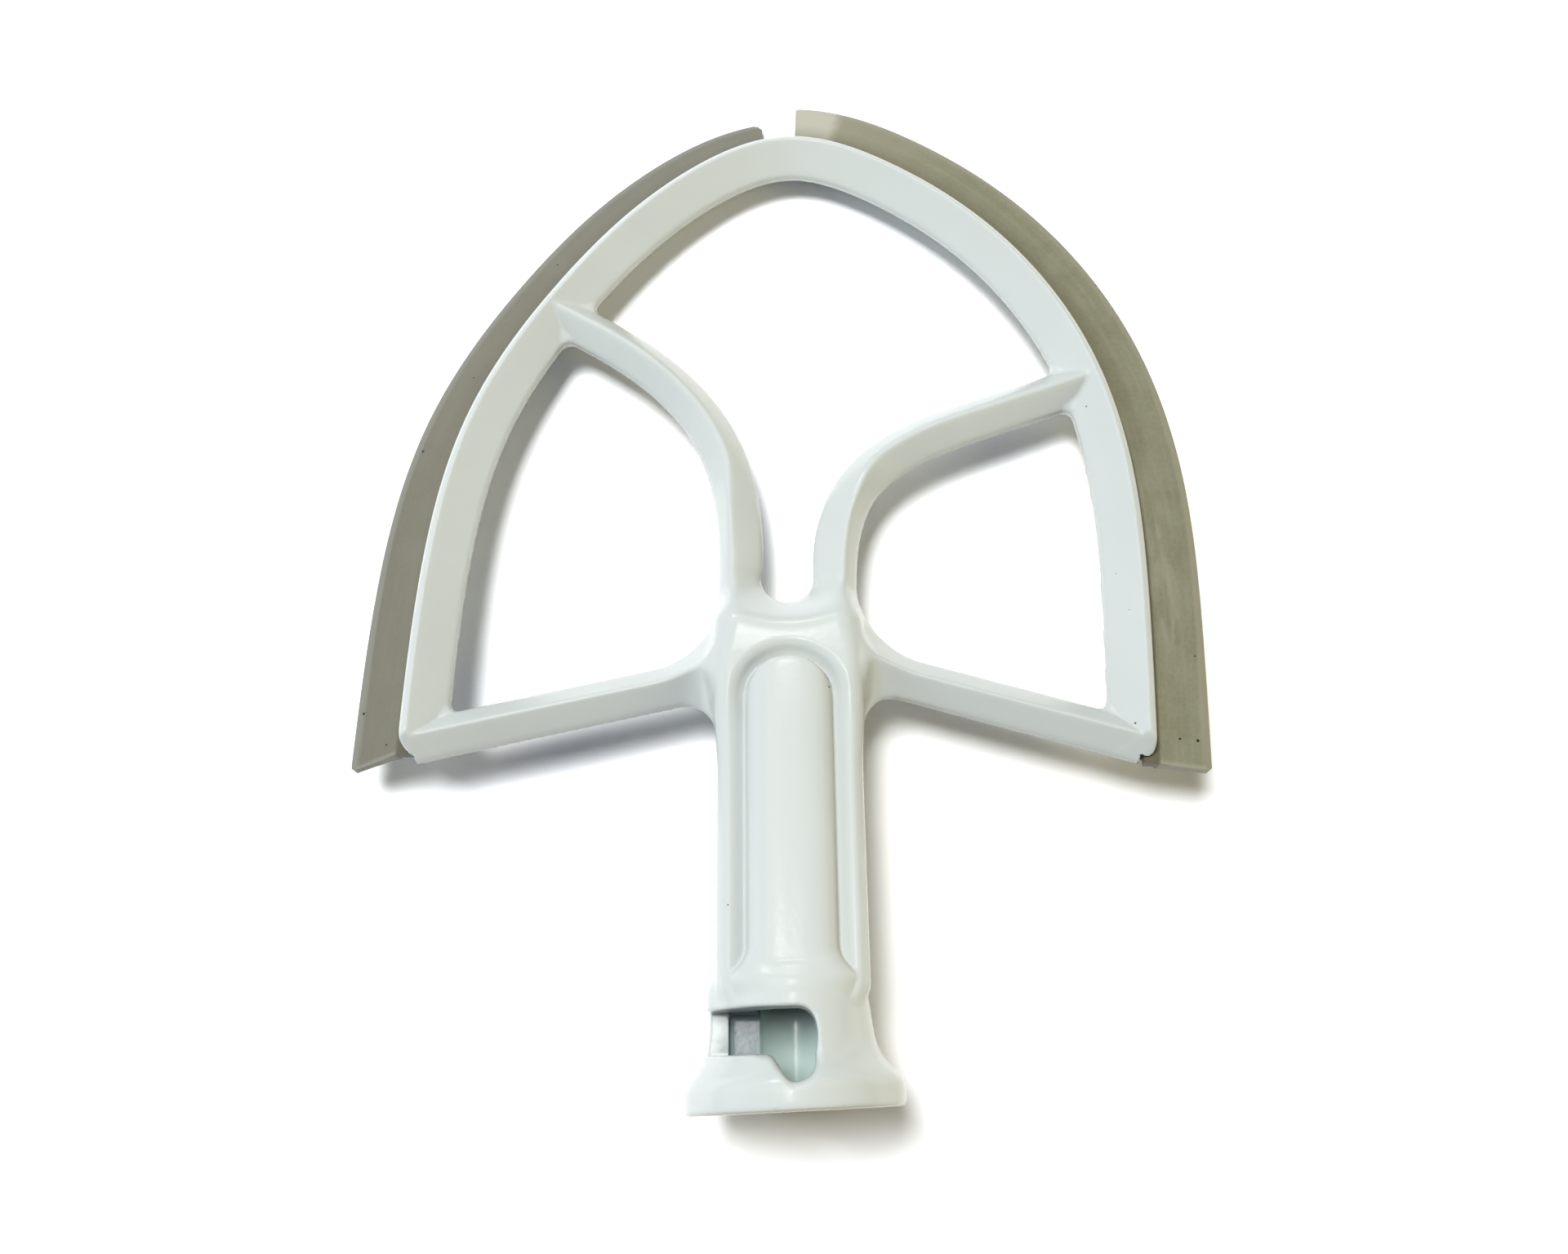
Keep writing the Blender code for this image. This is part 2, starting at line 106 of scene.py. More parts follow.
class Path:  # smooth planar curve through knots in mm, finely sampled
    spacing = 0.4
    chunk = 8000     # points looked up at once

    def __init__(self, knots):
        knots = np.array(knots, float)
        gaps = np.hypot(*np.diff(knots, axis=0).T)
        marks = np.concatenate(([0.0], np.cumsum(gaps)))
        fine = np.linspace(0.0, marks[-1], int(marks[-1] / self.spacing) + 2)
        self.points = np.column_stack([self.spline(marks, knots[:, k], fine) for k in (0, 1)])
        steps = np.hypot(*np.diff(self.points, axis=0).T)
        self.along = np.concatenate(([0.0], np.cumsum(steps)))
        slopes = np.gradient(self.points, self.along, axis=0)
        self.tangents = slopes / np.hypot(*slopes.T)[:, None]
        self.normals = np.column_stack([-self.tangents[:, 1], self.tangents[:, 0]])
        self.length = self.along[-1]

    @staticmethod
    def spline(x, y, at):  # natural cubic spline
        n = len(x)
        h = np.diff(x)
        system = np.eye(n)
        right = np.zeros(n)
        for i in range(1, n - 1):
            system[i, i - 1:i + 2] = h[i - 1], 2.0 * (h[i - 1] + h[i]), h[i]
            right[i] = 6.0 * ((y[i + 1] - y[i]) / h[i] - (y[i] - y[i - 1]) / h[i - 1])
        bend = np.linalg.solve(system, right)
        i = np.clip(np.searchsorted(x, at) - 1, 0, n - 2)
        before, after = at - x[i], x[i + 1] - at
        return ((bend[i] * after ** 3 + bend[i + 1] * before ** 3) / (6.0 * h[i])
                + (y[i] / h[i] - bend[i] * h[i] / 6.0) * after
                + (y[i + 1] / h[i] - bend[i + 1] * h[i] / 6.0) * before)

    def at(self, mark):  # point, direction and left-hand normal; it runs on straight past its ends
        inside = np.clip(mark, 0.0, self.length)
        pick = [np.interp(inside, self.along, column)
                for column in (*self.points.T, *self.tangents.T, *self.normals.T)]
        point, along, normal = np.array(pick[0:2]), np.array(pick[2:4]), np.array(pick[4:6])
        return point + along * (mark - inside), along, normal

    def markWhere(self, axis, value, low, high):  # where a coordinate first has a value
        inside = (self.along >= low) & (self.along <= high)
        side = self.points[inside, axis] - value
        first = np.nonzero(side[:-1] * side[1:] <= 0.0)[0][0]
        return float(self.along[inside][first])

    def local(self, x, y):  # distance along and signed distance to the left of each point
        flat = np.column_stack([np.ravel(x), np.ravel(y)]).astype(np.float32)
        nearest = np.empty(len(flat), int)
        spots = self.points.astype(np.float32)
        sizes = (spots ** 2).sum(1)
        for start in range(0, len(flat), self.chunk):
            part = flat[start:start + self.chunk]
            nearest[start:start + self.chunk] = np.argmin(sizes - 2.0 * part @ spots.T, axis=1)
        away = flat - self.points[nearest]
        along = self.along[nearest] + (away * self.tangents[nearest]).sum(1)
        left = (away * self.normals[nearest]).sum(1)
        return along.reshape(np.shape(x)), left.reshape(np.shape(x))


# casting: a distance field in mm, skinned into one mesh

casting = {
    # arch: the line of its outer edge, and its section as (outward, height)
    "archLeft": [(-66.4, 57.0), (-65.3, 88.0), (-58.8, 123.2), (-42.7, 152.4), (-20.5, 176.2)],
    "archApex": (2.0, 185.8),
    "archRight": [(22.2, 178.6), (44.0, 159.8), (57.5, 136.6), (63.4, 109.0), (63.4, 82.0), (61.7, 55.0)],
    "archSection": [(-7.0, 0.7), (-1.25, 5.3), (0.1, 4.5), (0.45, 3.4)],  # inner edge, crest, shoulder, wall
    "archEdge": 6.0,                          # an edge's crispness, higher is sharper
    "archFillet": (0.15, 0.35, 1.5),          # at the bars, added at the arms, added at the parting plane
    "archFilletUp": (84.0, 100.0), "archFilletFlat": (2.2, 0.7), "archFilletAbove": (-1.0, 1.5),
    "grooveDepth": 2.5, "grooveHalf": 1.5, "grooveStop": 2.6, "grooveRound": 0.15,
    "partingLedge": 0.30, "partingDepth": -0.3,   # how far the rear half stands proud, and z where it is full
    "cornerLeft": ((-66.6, 60.2), (-64.0, 56.0)), "cornerRight": ((62.6, 57.0), (60.0, 53.2)),
    "cornerEdge": 2.4, "cornerFrom": -40.0,
    # bars, arms and the web between them
    "barHalf": 3.8, "leftBarRoot": 74.2, "rightBarRoot": 76.8, "barSetBack": 1.75, "otherSide": 30.0,
    "armHalf": 4.1, "armSpacing": 17.2, "armFoot": 78.4, "armInset": 1.2,
    "leftArm": [(-8.3, 98.0), (-12.1, 116.9), (-24.4, 133.5)], "leftArmReach": 148.1,
    "rightArm": [(8.8, 95.0), (13.0, 107.9), (22.0, 116.1), (37.0, 122.4)], "rightArmReach": 130.1,
    "edgeHalf": 0.65, "roofSlope": 1.04, "roofTop": 5.2, "roofEdge": 4.6,
    "webTop": 6.3, "webMiddle": 82.0, "webReach": (30.0, 14.0), "webEnd": 1.0,
    "webFoot": 62.0, "webFootHalf": 20.0,
    "webFillet": (0.6, 1.2, 2.2),             # on the lower shaft, added at the junction, added beside it
    "webFilletUp": (60.0, 67.0), "webFilletSide": ((78.0, 70.0), (63.0, 70.0), (11.0, 13.5)),
    "windowCorner": 10.5, "lowerCorner": 6.5, "lowerSink": 1.2, "lowerSinking": (67.0, 58.0),
    "outerSteep": 2.0, "steepPlace": (12.0, 96.0), "steepReach": (18.0, 6.0),
    # valley between the arms
    "valleyFoot": 86.0, "valleyEase": (-1.0, 2.0), "valleyEdge": (1.3, 0.9), "valleyEdgeUp": (92.0, 100.0),
    "bankSide": 0.74, "bankFoot": 1.3, "bankEase": (94.0, 114.0),
    # shaft, with a tube between two rails, and the junction at its top
    "shaftHalf": (12.2, 8.0), "shaftCorner": 3.0, "shaftEdge": 1.6, "shaftStart": 9.0,
    "shaftSink": (2.2, 1.0, 3.0), "shaftSinking": (19.0, 12.0),
    "junctionHalf": (12.8, 9.2), "junctionTop": 92.0, "junctionThin": 3.6, "junctionNarrow": 9.0,
    "junctionWiden": (53.0, 66.0), "junctionSwell": (60.0, 74.0), "junctionFade": 79.5,
    "junctionRound": 2.2, "junctionRounding": (70.0, 84.0),
    "tubeHalf": (8.2, 10.3), "tubeEdge": 7.7, "tubeTop": 72.4, "tubePower": 3.5, "tubeScale": 8.5,
    "tubeCrisp": 2.8, "tubeStart": 14.0, "tubeFillet": 0.5,
    "tubeSpread": 3.0, "tubeSpreading": (25.5, 19.5), "tubeShrink": (3.0, 2.0), "tubeShrinking": (20.0, 15.0),
    "troughHalf": 10.0, "troughTop": 75.0, "troughFloor": 6.9, "troughRise": (0.48, 1.0),
    "troughRising": (58.0, 72.0), "troughRound": 0.7,
    # hub, with the bore and the slot for the shaft's pin
    "flange": 17.4, "flangeTilt": 0.035, "tiltFade": (8.0, 2.0), "flareStart": 2.5, "flareLength": 4.6,
    "flangeRound": 0.8, "barrel": (12.15, 20.9), "barrelEdge": 0.5, "barrelScale": 0.85,
    "bulgeReach": 14.0, "bulgeHalf": 7.2, "bulgeTop": 20.4, "bulgeEdge": 0.9, "bulgeFillet": 2.0,
    "hubFillet": (0.5, 1.5), "hubFilletUp": (4.0, 9.0),
    "bore": (6.4, 45.0), "keyway": (10.5, 3.3), "keywayShort": 0.3, "cutEdge": 4.0,
    "slot": (8.2, 15.1), "slotEnd": 3.2, "slotRound": 2.6, "slotDrop": 2.4, "slotFront": (-3.0, 1.0),
    "notchHalf": 3.2, "notchFoot": 4.2, "notchTop": 1.0, "notchRamp": 0.4, "notchRamping": (0.0, -2.5),
    "lipRound": 1.2, "cutRound": (0.6, 0.7), "lipPlace": ((10.5, 8.0), (-6.5, -4.0), (4.0, 7.0)),
    # planar fields: their box; net: cell size, box, and the bands in which the field is worked out
    "fieldLow": (-71.0, -3.0), "fieldHigh": (69.0, 191.0),
    "cell": 0.42, "triangles": 186000, "netLow": (-69.5, -1.6), "netSize": (136.5, 190.0, 37.2),
    "coreBand": (19.5, 98.0), "archBand": (-11.0, 3.0), "armBand": 7.5,
    "limbBand": (48.0, 94.0), "limbHalf": 7.0, "openAir": 4.0, "columnsAtOnce": 12000,
}
wellInside = -9.0    # deeper than any face of a limb
farInside = -20.0    # deeper than any face at all
belowAll = -20.0     # lower than the hub's end

arch = Path([*casting["archLeft"], casting["archApex"], *casting["archRight"]])
apexMark = arch.markWhere(0, casting["archApex"][0], 0.0, arch.length)
axisMark = arch.markWhere(0, 0.0, 0.0, arch.length)


def armPath(side, bend, reach):
    span = (0.0, apexMark) if side < 0 else (apexMark, arch.length)
    meeting, _, outward = arch.at(arch.markWhere(1, reach, *span))
    foot = (side * casting["armSpacing"] / 2, casting["armFoot"])
    return Path([foot, *bend, tuple(meeting - outward * casting["armInset"])])


def smoothStep(low, high, value):
    t = np.clip((value - low) / (high - low), 0.0, 1.0)
    return t * t * (3.0 - 2.0 * t)


def softMax(crispness, *planes):  # rounds the edges where planes meet
    total = sum(np.exp(np.clip(crispness * plane, -60.0, 60.0)) for plane in planes)
    return np.log(np.maximum(total, 1e-30)) / crispness


def roundUnion(a, b, radius):  # joins two solids with a fillet
    inside = np.hypot(np.maximum(radius - a, 0.0), np.maximum(radius - b, 0.0))
    return np.maximum(radius, np.minimum(a, b)) - inside


def roundCut(a, cutter, radius):  # removes a cutter and rounds the edge that it leaves
    return roundMeet(a, -cutter, radius)


def planeThrough(u, v, first, second):  # signed distance to the line from first to second, left side inside
    du, dv = second[0] - first[0], second[1] - first[1]
    size = np.hypot(du, dv)
    return ((v - first[1]) * du - (u - first[0]) * dv) / size


def roundMeet(a, b, radius):  # keeps what two shapes share, with a rounded corner
    outside = np.hypot(np.maximum(radius + a, 0.0), np.maximum(radius + b, 0.0))
    return np.minimum(-radius, np.maximum(a, b)) + outside


def roundBox(overX, overY, radius):  # rectangle with round corners, measured past its inner box
    outside = np.hypot(np.maximum(overX, 0.0), np.maximum(overY, 0.0))
    return outside + np.minimum(np.maximum(overX, overY), 0.0) - radius


def capsule2d(x, y, low, high, half):  # round-ended strip along y, from low to high
    middle = np.clip(y, low + half, high - half)
    return np.hypot(x, y - middle) - half


class CastingField:
    spread = 0.5                      # mm between the samples of the planar fields
    gentlest, longestMove = 0.2, 0.3  # limits on a step towards the surface

    def __init__(self):
        c = casting
        self.low = np.array(c["fieldLow"])
        xs, ys = [np.arange(low, high, self.spread) for low, high in zip(self.low, c["fieldHigh"])]
        self.shape = (len(xs), len(ys))
        gridX, gridY = np.meshgrid(xs, ys, indexing="ij")
        paths = {"arch": arch, "left": armPath(-1, c["leftArm"], c["leftArmReach"]),
                 "right": armPath(1, c["rightArm"], c["rightArmReach"])}
        self.planar = {name: [part.astype(np.float32) for part in path.local(gridX, gridY)]
                       for name, path in paths.items()}

    def lookUp(self, name, x, y):     # distance along a path and to its left, by linear interpolation
        fx = np.clip((x - self.low[0]) / self.spread, 0.0, self.shape[0] - 1.001)
        fy = np.clip((y - self.low[1]) / self.spread, 0.0, self.shape[1] - 1.001)
        i, j = fx.astype(np.int32), fy.astype(np.int32)
        s, t = fx - i, fy - j
        found = []
        for table in self.planar[name]:
            near = table[i, j] * (1 - t) + table[i, j + 1] * t
            far = table[i + 1, j] * (1 - t) + table[i + 1, j + 1] * t
            found.append(near * (1 - s) + far * s)
        return found

    def barPlace(self, x, y, side):   # distance above the middle line of a lower bar
        c = casting
        root = c["leftBarRoot"] if side < 0 else c["rightBarRoot"]
        corner, _, outward = arch.at(c["barHalf"] if side < 0 else arch.length - c["barHalf"])
        start = corner - outward * c["barSetBack"]
        rise = (root - start[1]) / abs(start[0])
        above = (y - root + rise * np.abs(x)) * math.cos(math.atan(rise))
        return above + np.where(x * side < 0.0, c["otherSide"], 0.0)

    def gaps(self, x, y):             # signed distances to the five open areas seen from the front
        c = casting
        bar, arm = c["barHalf"], c["armHalf"]
        leftArm, rightArm = self.lookUp("left", x, y)[1], self.lookUp("right", x, y)[1]
        leftBar, rightBar = self.barPlace(x, y, -1), self.barPlace(x, y, 1)
        corner = c["windowCorner"]
        half = c["armSpacing"] / 2 - arm
        foot = c["valleyFoot"] + half
        below = np.maximum(foot - y, 0.0)
        round_ = np.hypot(x, below) - half
        between = np.maximum(leftArm + arm, arm - rightArm)
        share = smoothStep(foot + c["valleyEase"][0], foot + c["valleyEase"][1], y)
        # the lower corners end inside the shaft
        side = c["junctionHalf"][0] - c["lowerSink"] * smoothStep(*c["lowerSinking"], y)
        return {
            "valley": round_ + (between - round_) * share,
            "leftWindow": roundMeet(arm - leftArm, bar - leftBar, corner),
            "rightWindow": roundMeet(arm + rightArm, bar - rightBar, corner),
            "belowLeft": roundMeet(leftBar + bar, x + side, c["lowerCorner"]),
            "belowRight": roundMeet(rightBar + bar, side - x, c["lowerCorner"]),
        }

    def faces(self, gap, steep, z):     # the wall and the sloping face beside an open area
        c = casting
        ledge = c["partingLedge"] * smoothStep(0.0, c["partingDepth"], z)
        slope = (np.abs(z) - c["edgeHalf"] - steep * gap) / np.sqrt(1.0 + steep ** 2)
        return -gap - ledge, slope

    def webSolid(self, x, y, z, gaps):  # arms, bars and the web that joins them, still without the valley
        c = casting
        sideways, upwards = c["steepPlace"]
        near = smoothStep(*c["steepReach"], np.hypot(np.abs(x) - sideways, y - upwards))
        steep = c["roofSlope"] + (c["outerSteep"] - c["roofSlope"]) * near
        crown = smoothStep(*c["webReach"], np.hypot(x, y - c["webMiddle"]))
        top = c["roofTop"] + (c["webTop"] - c["roofTop"]) * crown
        foot = np.where(np.abs(x) < c["webFootHalf"], c["webFoot"] - y, wellInside)
        planes = [np.abs(z) - top, self.lookUp("arch", x, y)[1] + c["webEnd"], np.maximum(foot, wellInside)]
        for name in ("leftWindow", "rightWindow"):
            planes += self.faces(gaps[name], steep, z)
        for name in ("belowLeft", "belowRight"):
            planes += self.faces(gaps[name], np.full_like(x, c["roofSlope"]), z)
        return softMax(c["roofEdge"], *planes)

    def valleyFaces(self, x, y, z, gap):  # the banks of the valley, steeper at its round foot
        c = casting
        half = c["armSpacing"] / 2 - c["armHalf"]
        below = np.maximum(c["valleyFoot"] + half - y, 0.0)
        steep = c["bankSide"] + (c["roofSlope"] - c["bankSide"]) * smoothStep(*c["bankEase"], y)
        steep = steep + (c["bankFoot"] - steep) * (below / np.maximum(np.hypot(x, below), 0.1)) ** 2
        return self.faces(gap, steep, z)

    def archSolid(self, x, y, z, gaps):
        c = casting
        out = self.lookUp("arch", x, y)[1]
        inner, crest, shoulder, wall = c["archSection"]
        height = np.abs(z)
        ledge = c["partingLedge"] * smoothStep(0.0, c["partingDepth"], z)
        below = np.minimum(gaps["belowLeft"], gaps["belowRight"])
        return softMax(c["archEdge"], -out + inner[0] - ledge,
                       planeThrough(out, height, inner, crest), planeThrough(out, height, crest, shoulder),
                       planeThrough(out, height, shoulder, wall), out - wall[0],
                       *self.faces(below, np.full_like(x, c["roofSlope"]), z))

    def grooveCut(self, x, y, z):   # room for the wipers' tongues, also where the arms and bars end
        c = casting
        along, out = self.lookUp("arch", x, y)
        foot = c["archSection"][3][0] - c["grooveDepth"]
        groove = np.maximum(foot - out, np.abs(z) - c["grooveHalf"])
        return np.maximum(groove, c["grooveStop"] - np.abs(along - axisMark))   # it stops short of the apex

    def shaftSolid(self, x, y, z):
        c = casting
        height = np.abs(z)
        toJunction = smoothStep(*c["junctionWiden"], y)
        swell = smoothStep(*c["junctionSwell"], y)
        fade = smoothStep(c["junctionFade"], c["junctionTop"], y)
        halfX = (c["shaftHalf"][0] + (c["junctionHalf"][0] - c["shaftHalf"][0]) * toJunction
                 - (c["junctionHalf"][0] - c["junctionNarrow"]) * fade)
        halfZ = (c["shaftHalf"][1] + (c["junctionHalf"][1] - c["shaftHalf"][1]) * swell
                 - (c["junctionHalf"][1] - c["junctionThin"]) * fade)
        sink = smoothStep(*c["shaftSinking"], y)   # the shaft's end sinks into the round hub
        sinkX, sinkZ, sinkRound = c["shaftSink"]
        halfX = halfX - sinkX * sink
        halfZ = halfZ - sinkZ * sink
        rounder = smoothStep(*c["junctionRounding"], y)
        round_ = c["shaftCorner"] + sinkRound * sink + c["junctionRound"] * rounder
        solid = roundBox(np.abs(x) - halfX + round_, height - halfZ + round_, round_)
        solid = softMax(c["shaftEdge"], solid, y - c["junctionTop"], c["shaftStart"] - y)
        trough = capsule2d(x, y, belowAll, c["troughTop"], c["troughHalf"])
        lowRise, highRise = c["troughRise"]
        rise = lowRise + (highRise - lowRise) * smoothStep(*c["troughRising"], y)
        bank = c["troughFloor"] + rise * (trough + c["troughHalf"] - c["tubeEdge"]) - height
        solid = roundCut(solid, bank / np.sqrt(1.0 + rise ** 2), c["troughRound"])
        spread = smoothStep(*c["tubeSpreading"], y) ** 2   # the tube widens into the hub
        shrink = smoothStep(*c["tubeShrinking"], y)        # and ends inside it
        wide = c["tubeHalf"][0] + c["tubeSpread"] * spread - c["tubeShrink"][0] * shrink
        tall = c["tubeHalf"][1] - c["tubeShrink"][1] * shrink
        power = c["tubePower"]
        oval = ((np.abs(x) / wide) ** power + (height / tall) ** power) ** (1.0 / power)
        end = capsule2d(x, y, belowAll, c["tubeTop"], c["tubeEdge"] + c["tubeSpread"] * spread)
        tube = softMax(c["tubeCrisp"], (oval - 1.0) * c["tubeScale"], end, c["tubeStart"] - y)
        return roundUnion(solid, tube, c["tubeFillet"])

    def hubSolid(self, x, y, z):
        c = casting
        y = y - c["flangeTilt"] * x * smoothStep(*c["tiltFade"], y)
        radius = np.hypot(x, z)
        barrel, barrelTop = c["barrel"]
        past = np.maximum(y - c["flareStart"], 0.0) / c["flareLength"]
        flare = barrel + (c["flange"] - barrel) / (1.0 + past ** 3)
        column = softMax(c["barrelEdge"], (radius - flare) * c["barrelScale"], y - barrelTop)
        bulge = np.hypot(x + c["bulgeReach"] - c["bulgeHalf"], z) - c["bulgeHalf"]
        bulge = softMax(c["bulgeEdge"], bulge, y - c["bulgeTop"])
        hub = roundUnion(column, bulge, c["bulgeFillet"])
        return softMax(1.0 / (c["flangeRound"] * 0.42), hub, -y)   # 0.42 turns a radius into crispness

    def hubCuts(self, x, y, z):
        c = casting
        crisp = c["cutEdge"]
        low, high = c["slot"]
        bore = softMax(crisp, np.hypot(x, z) - c["bore"][0], y - c["bore"][1])
        reach, half = c["keyway"]
        keyway = softMax(crisp, np.abs(z) - half, -x - reach, x, y - high + c["keywayShort"])
        end = c["slotRound"]
        tall = np.abs(y - (low + high) / 2) - (high - low) / 2
        slot = roundBox(x - c["slotEnd"] + end, tall + end, end)
        slot = np.minimum(slot, np.maximum(tall, x))   # square at its open end
        across = x - c["slotEnd"] + c["notchHalf"]
        ramp = smoothStep(*c["notchRamping"], across)
        across = across - c["notchRamp"] * np.maximum(low - y, 0.0) * ramp
        notch = capsule2d(across, y, c["notchFoot"], high - c["notchTop"], c["notchHalf"])
        keyhole = roundUnion(slot, notch, c["lipRound"])
        frontFrom, frontLow = c["slotFront"]           # only the front wall is cut there
        window = np.maximum(keyhole, -z - c["slotDrop"])
        window = np.maximum(window, np.where(x > frontFrom, frontLow - z, farInside))
        return np.minimum(np.minimum(bore, keyway), window)

    def value(self, points):
        c = casting
        x, y, z = points.astype(np.float32).T
        gaps = self.gaps(x, y)
        onShaft, under, beside = c["webFillet"]
        falling, rising, outwards = c["webFilletSide"]
        soft = onShaft + under * smoothStep(*c["webFilletUp"], y)   # wider at the junction
        aside = smoothStep(*outwards, np.abs(x))
        soft = soft + beside * smoothStep(*falling, y) * smoothStep(*rising, y) * aside
        solid = roundUnion(self.shaftSolid(x, y, z), self.webSolid(x, y, z, gaps), soft)
        crisp = c["valleyEdge"][0] + c["valleyEdge"][1] * smoothStep(*c["valleyEdgeUp"], y)
        solid = softMax(crisp, solid, *self.valleyFaces(x, y, z, gaps["valley"]))
        nearestBar = np.minimum(self.barPlace(x, y, -1), self.barPlace(x, y, 1))
        above = smoothStep(*c["archFilletAbove"], nearestBar)
        atBars, atArms, atParting = c["archFillet"]
        fillet = atBars + atArms * smoothStep(*c["archFilletUp"], y)
        fillet = fillet + atParting * above * smoothStep(*c["archFilletFlat"], np.abs(z))
        solid = roundUnion(solid, self.archSolid(x, y, z, gaps), fillet)
        solid = roundCut(solid, self.grooveCut(x, y, z), c["grooveRound"])
        for (first, second), turn in ((c["cornerLeft"], 1.0), (c["cornerRight"], -1.0)):
            chamfer = planeThrough(x, y, second, first) * turn
            solid = softMax(c["cornerEdge"], solid, np.where(x * turn < c["cornerFrom"], chamfer, farInside))
        onHub, overHub = c["hubFillet"]
        fillet = onHub + overHub * smoothStep(*c["hubFilletUp"], np.abs(z))
        solid = roundUnion(solid, self.hubSolid(x, y, z), fillet)
        lipY, lipX, lipZ = c["lipPlace"]               # the edge of the notch is rounder
        lip = smoothStep(*lipY, y) * smoothStep(*lipX, x) * smoothStep(*lipZ, z)
        return roundCut(solid, self.hubCuts(x, y, z), c["cutRound"][0] + c["cutRound"][1] * lip)

    def slope(self, points, step=0.04):  # gradient by differences towards four corners
        corners = np.array([(1, -1, -1), (-1, -1, 1), (-1, 1, -1), (1, 1, 1)], np.float32)
        rises = [corner * self.value(points + corner * step)[:, None] for corner in corners]
        return sum(rises) / (4.0 * step)

    def settle(self, points, rounds):    # moves points onto the surface
        for _ in range(rounds):
            slope = self.slope(points)
            height = self.value(points)
            steepness = np.maximum((slope ** 2).sum(1), self.gentlest)
            move = np.clip(height / steepness, -self.longestMove, self.longestMove)
            points = points - slope * move[:, None]
        slope = self.slope(points)
        return points, slope / np.maximum(np.linalg.norm(slope, axis=1), 1e-6)[:, None]


def sampleField(field, low, counts, cell):  # values on a grid, worked out only near the solid
    axes = [low[k] + cell * np.arange(counts[k]) for k in range(3)]
    gridX, gridY = np.meshgrid(axes[0], axes[1], indexing="ij")
    outArch = field.lookUp("arch", gridX, gridY)[1]
    nearLeft = field.lookUp("left", gridX, gridY)[1]
    nearRight = field.lookUp("right", gridX, gridY)[1]
    coreHalf, coreTop = casting["coreBand"]
    archLow, archHigh = casting["archBand"]
    limbLow, limbTop = casting["limbBand"]
    reach = casting["armBand"]
    deep = (np.abs(gridX) < coreHalf) & (gridY < coreTop)
    onArch = (outArch < archHigh) & (outArch > archLow)
    onArm = (np.abs(nearLeft) < reach) | (np.abs(nearRight) < reach)
    limb = (gridY > limbLow) & (onArch | onArm | (gridY < limbTop))
    thin = np.abs(axes[2]) < casting["limbHalf"]
    values = np.full(counts, casting["openAir"], np.float32)
    batch = casting["columnsAtOnce"]
    for mask, levels in ((deep, np.ones_like(thin)), (limb & ~deep, thin)):
        i, j = np.nonzero(mask)
        heights = axes[2][levels]
        result = np.empty((len(i), len(heights)), np.float32)
        for start in range(0, len(i), batch):
            stop = start + batch
            n = len(i[start:stop])
            points = np.empty((n, len(heights), 3), np.float32)
            points[:, :, 0] = axes[0][i[start:stop]][:, None]
            points[:, :, 1] = axes[1][j[start:stop]][:, None]
            points[:, :, 2] = heights
            result[start:stop] = field.value(points.reshape(-1, 3)).reshape(n, -1)
        block = values[i, j]
        block[:, levels] = result
        values[i, j] = block
    return values


def surfaceNet(values, low, cell):  # a point in each crossed cell and a quad at each crossed edge
    inside = values < 0.0
    nx, ny, nz = values.shape
    total = np.zeros((nx - 1, ny - 1, nz - 1), np.int8)
    offsets = [(a, b, c) for a in (0, 1) for b in (0, 1) for c in (0, 1)]
    for a, b, c in offsets:
        total += inside[a:nx - 1 + a, b:ny - 1 + b, c:nz - 1 + c]
    crossed = (total > 0) & (total < 8)
    cells = np.argwhere(crossed)
    number = np.full(crossed.shape, -1, np.int64)
    number[crossed] = np.arange(len(cells))
    corner = {o: values[cells[:, 0] + o[0], cells[:, 1] + o[1], cells[:, 2] + o[2]] for o in offsets}
    sums = np.zeros((len(cells), 3))
    hits = np.zeros(len(cells))
    for first in offsets:
        for axis in range(3):
            if first[axis]:
                continue
            second = tuple(1 if k == axis else first[k] for k in range(3))
            a, b = corner[first], corner[second]
            cross = (a < 0.0) != (b < 0.0)
            share = np.where(cross, a / np.where(cross, a - b, 1.0), 0.0)
            place = np.tile(np.array(first, float), (len(cells), 1))
            place[:, axis] += share
            sums += place * cross[:, None]
            hits += cross
    points = np.array(low) + cell * (cells + sums / hits[:, None])
    quads = []
    for axis in range(3):
        other = [k for k in range(3) if k != axis]
        one = [slice(None)] * 3
        two = [slice(None)] * 3
        one[axis], two[axis] = slice(0, -1), slice(1, None)
        change = inside[tuple(one)] != inside[tuple(two)]
        edges = np.argwhere(change)
        edges = edges[(edges[:, other[0]] > 0) & (edges[:, other[1]] > 0)]
        ring = []
        for da, db in ((0, 0), (-1, 0), (-1, -1), (0, -1)):
            spot = edges.copy()
            spot[:, other[0]] += da
            spot[:, other[1]] += db
            ring.append(number[spot[:, 0], spot[:, 1], spot[:, 2]])
        ring = np.column_stack(ring)
        outward = inside[edges[:, 0], edges[:, 1], edges[:, 2]]
        flip = outward if axis == 1 else ~outward
        ring[flip] = ring[flip][:, ::-1]
        quads.append(ring)
    return points, np.concatenate(quads)


def meshObject(name, points, faces):
    mesh = bpy.data.meshes.new(name)
    mesh.from_pydata(points.tolist(), [], faces.tolist())
    mesh.update()
    made = bpy.data.objects.new(name, mesh)
    bpy.context.scene.collection.objects.link(made)
    return made


def bakedMesh(source):  # plain mesh of an object with its modifiers
    graph = bpy.context.evaluated_depsgraph_get()
    return bpy.data.meshes.new_from_object(source.evaluated_get(graph))


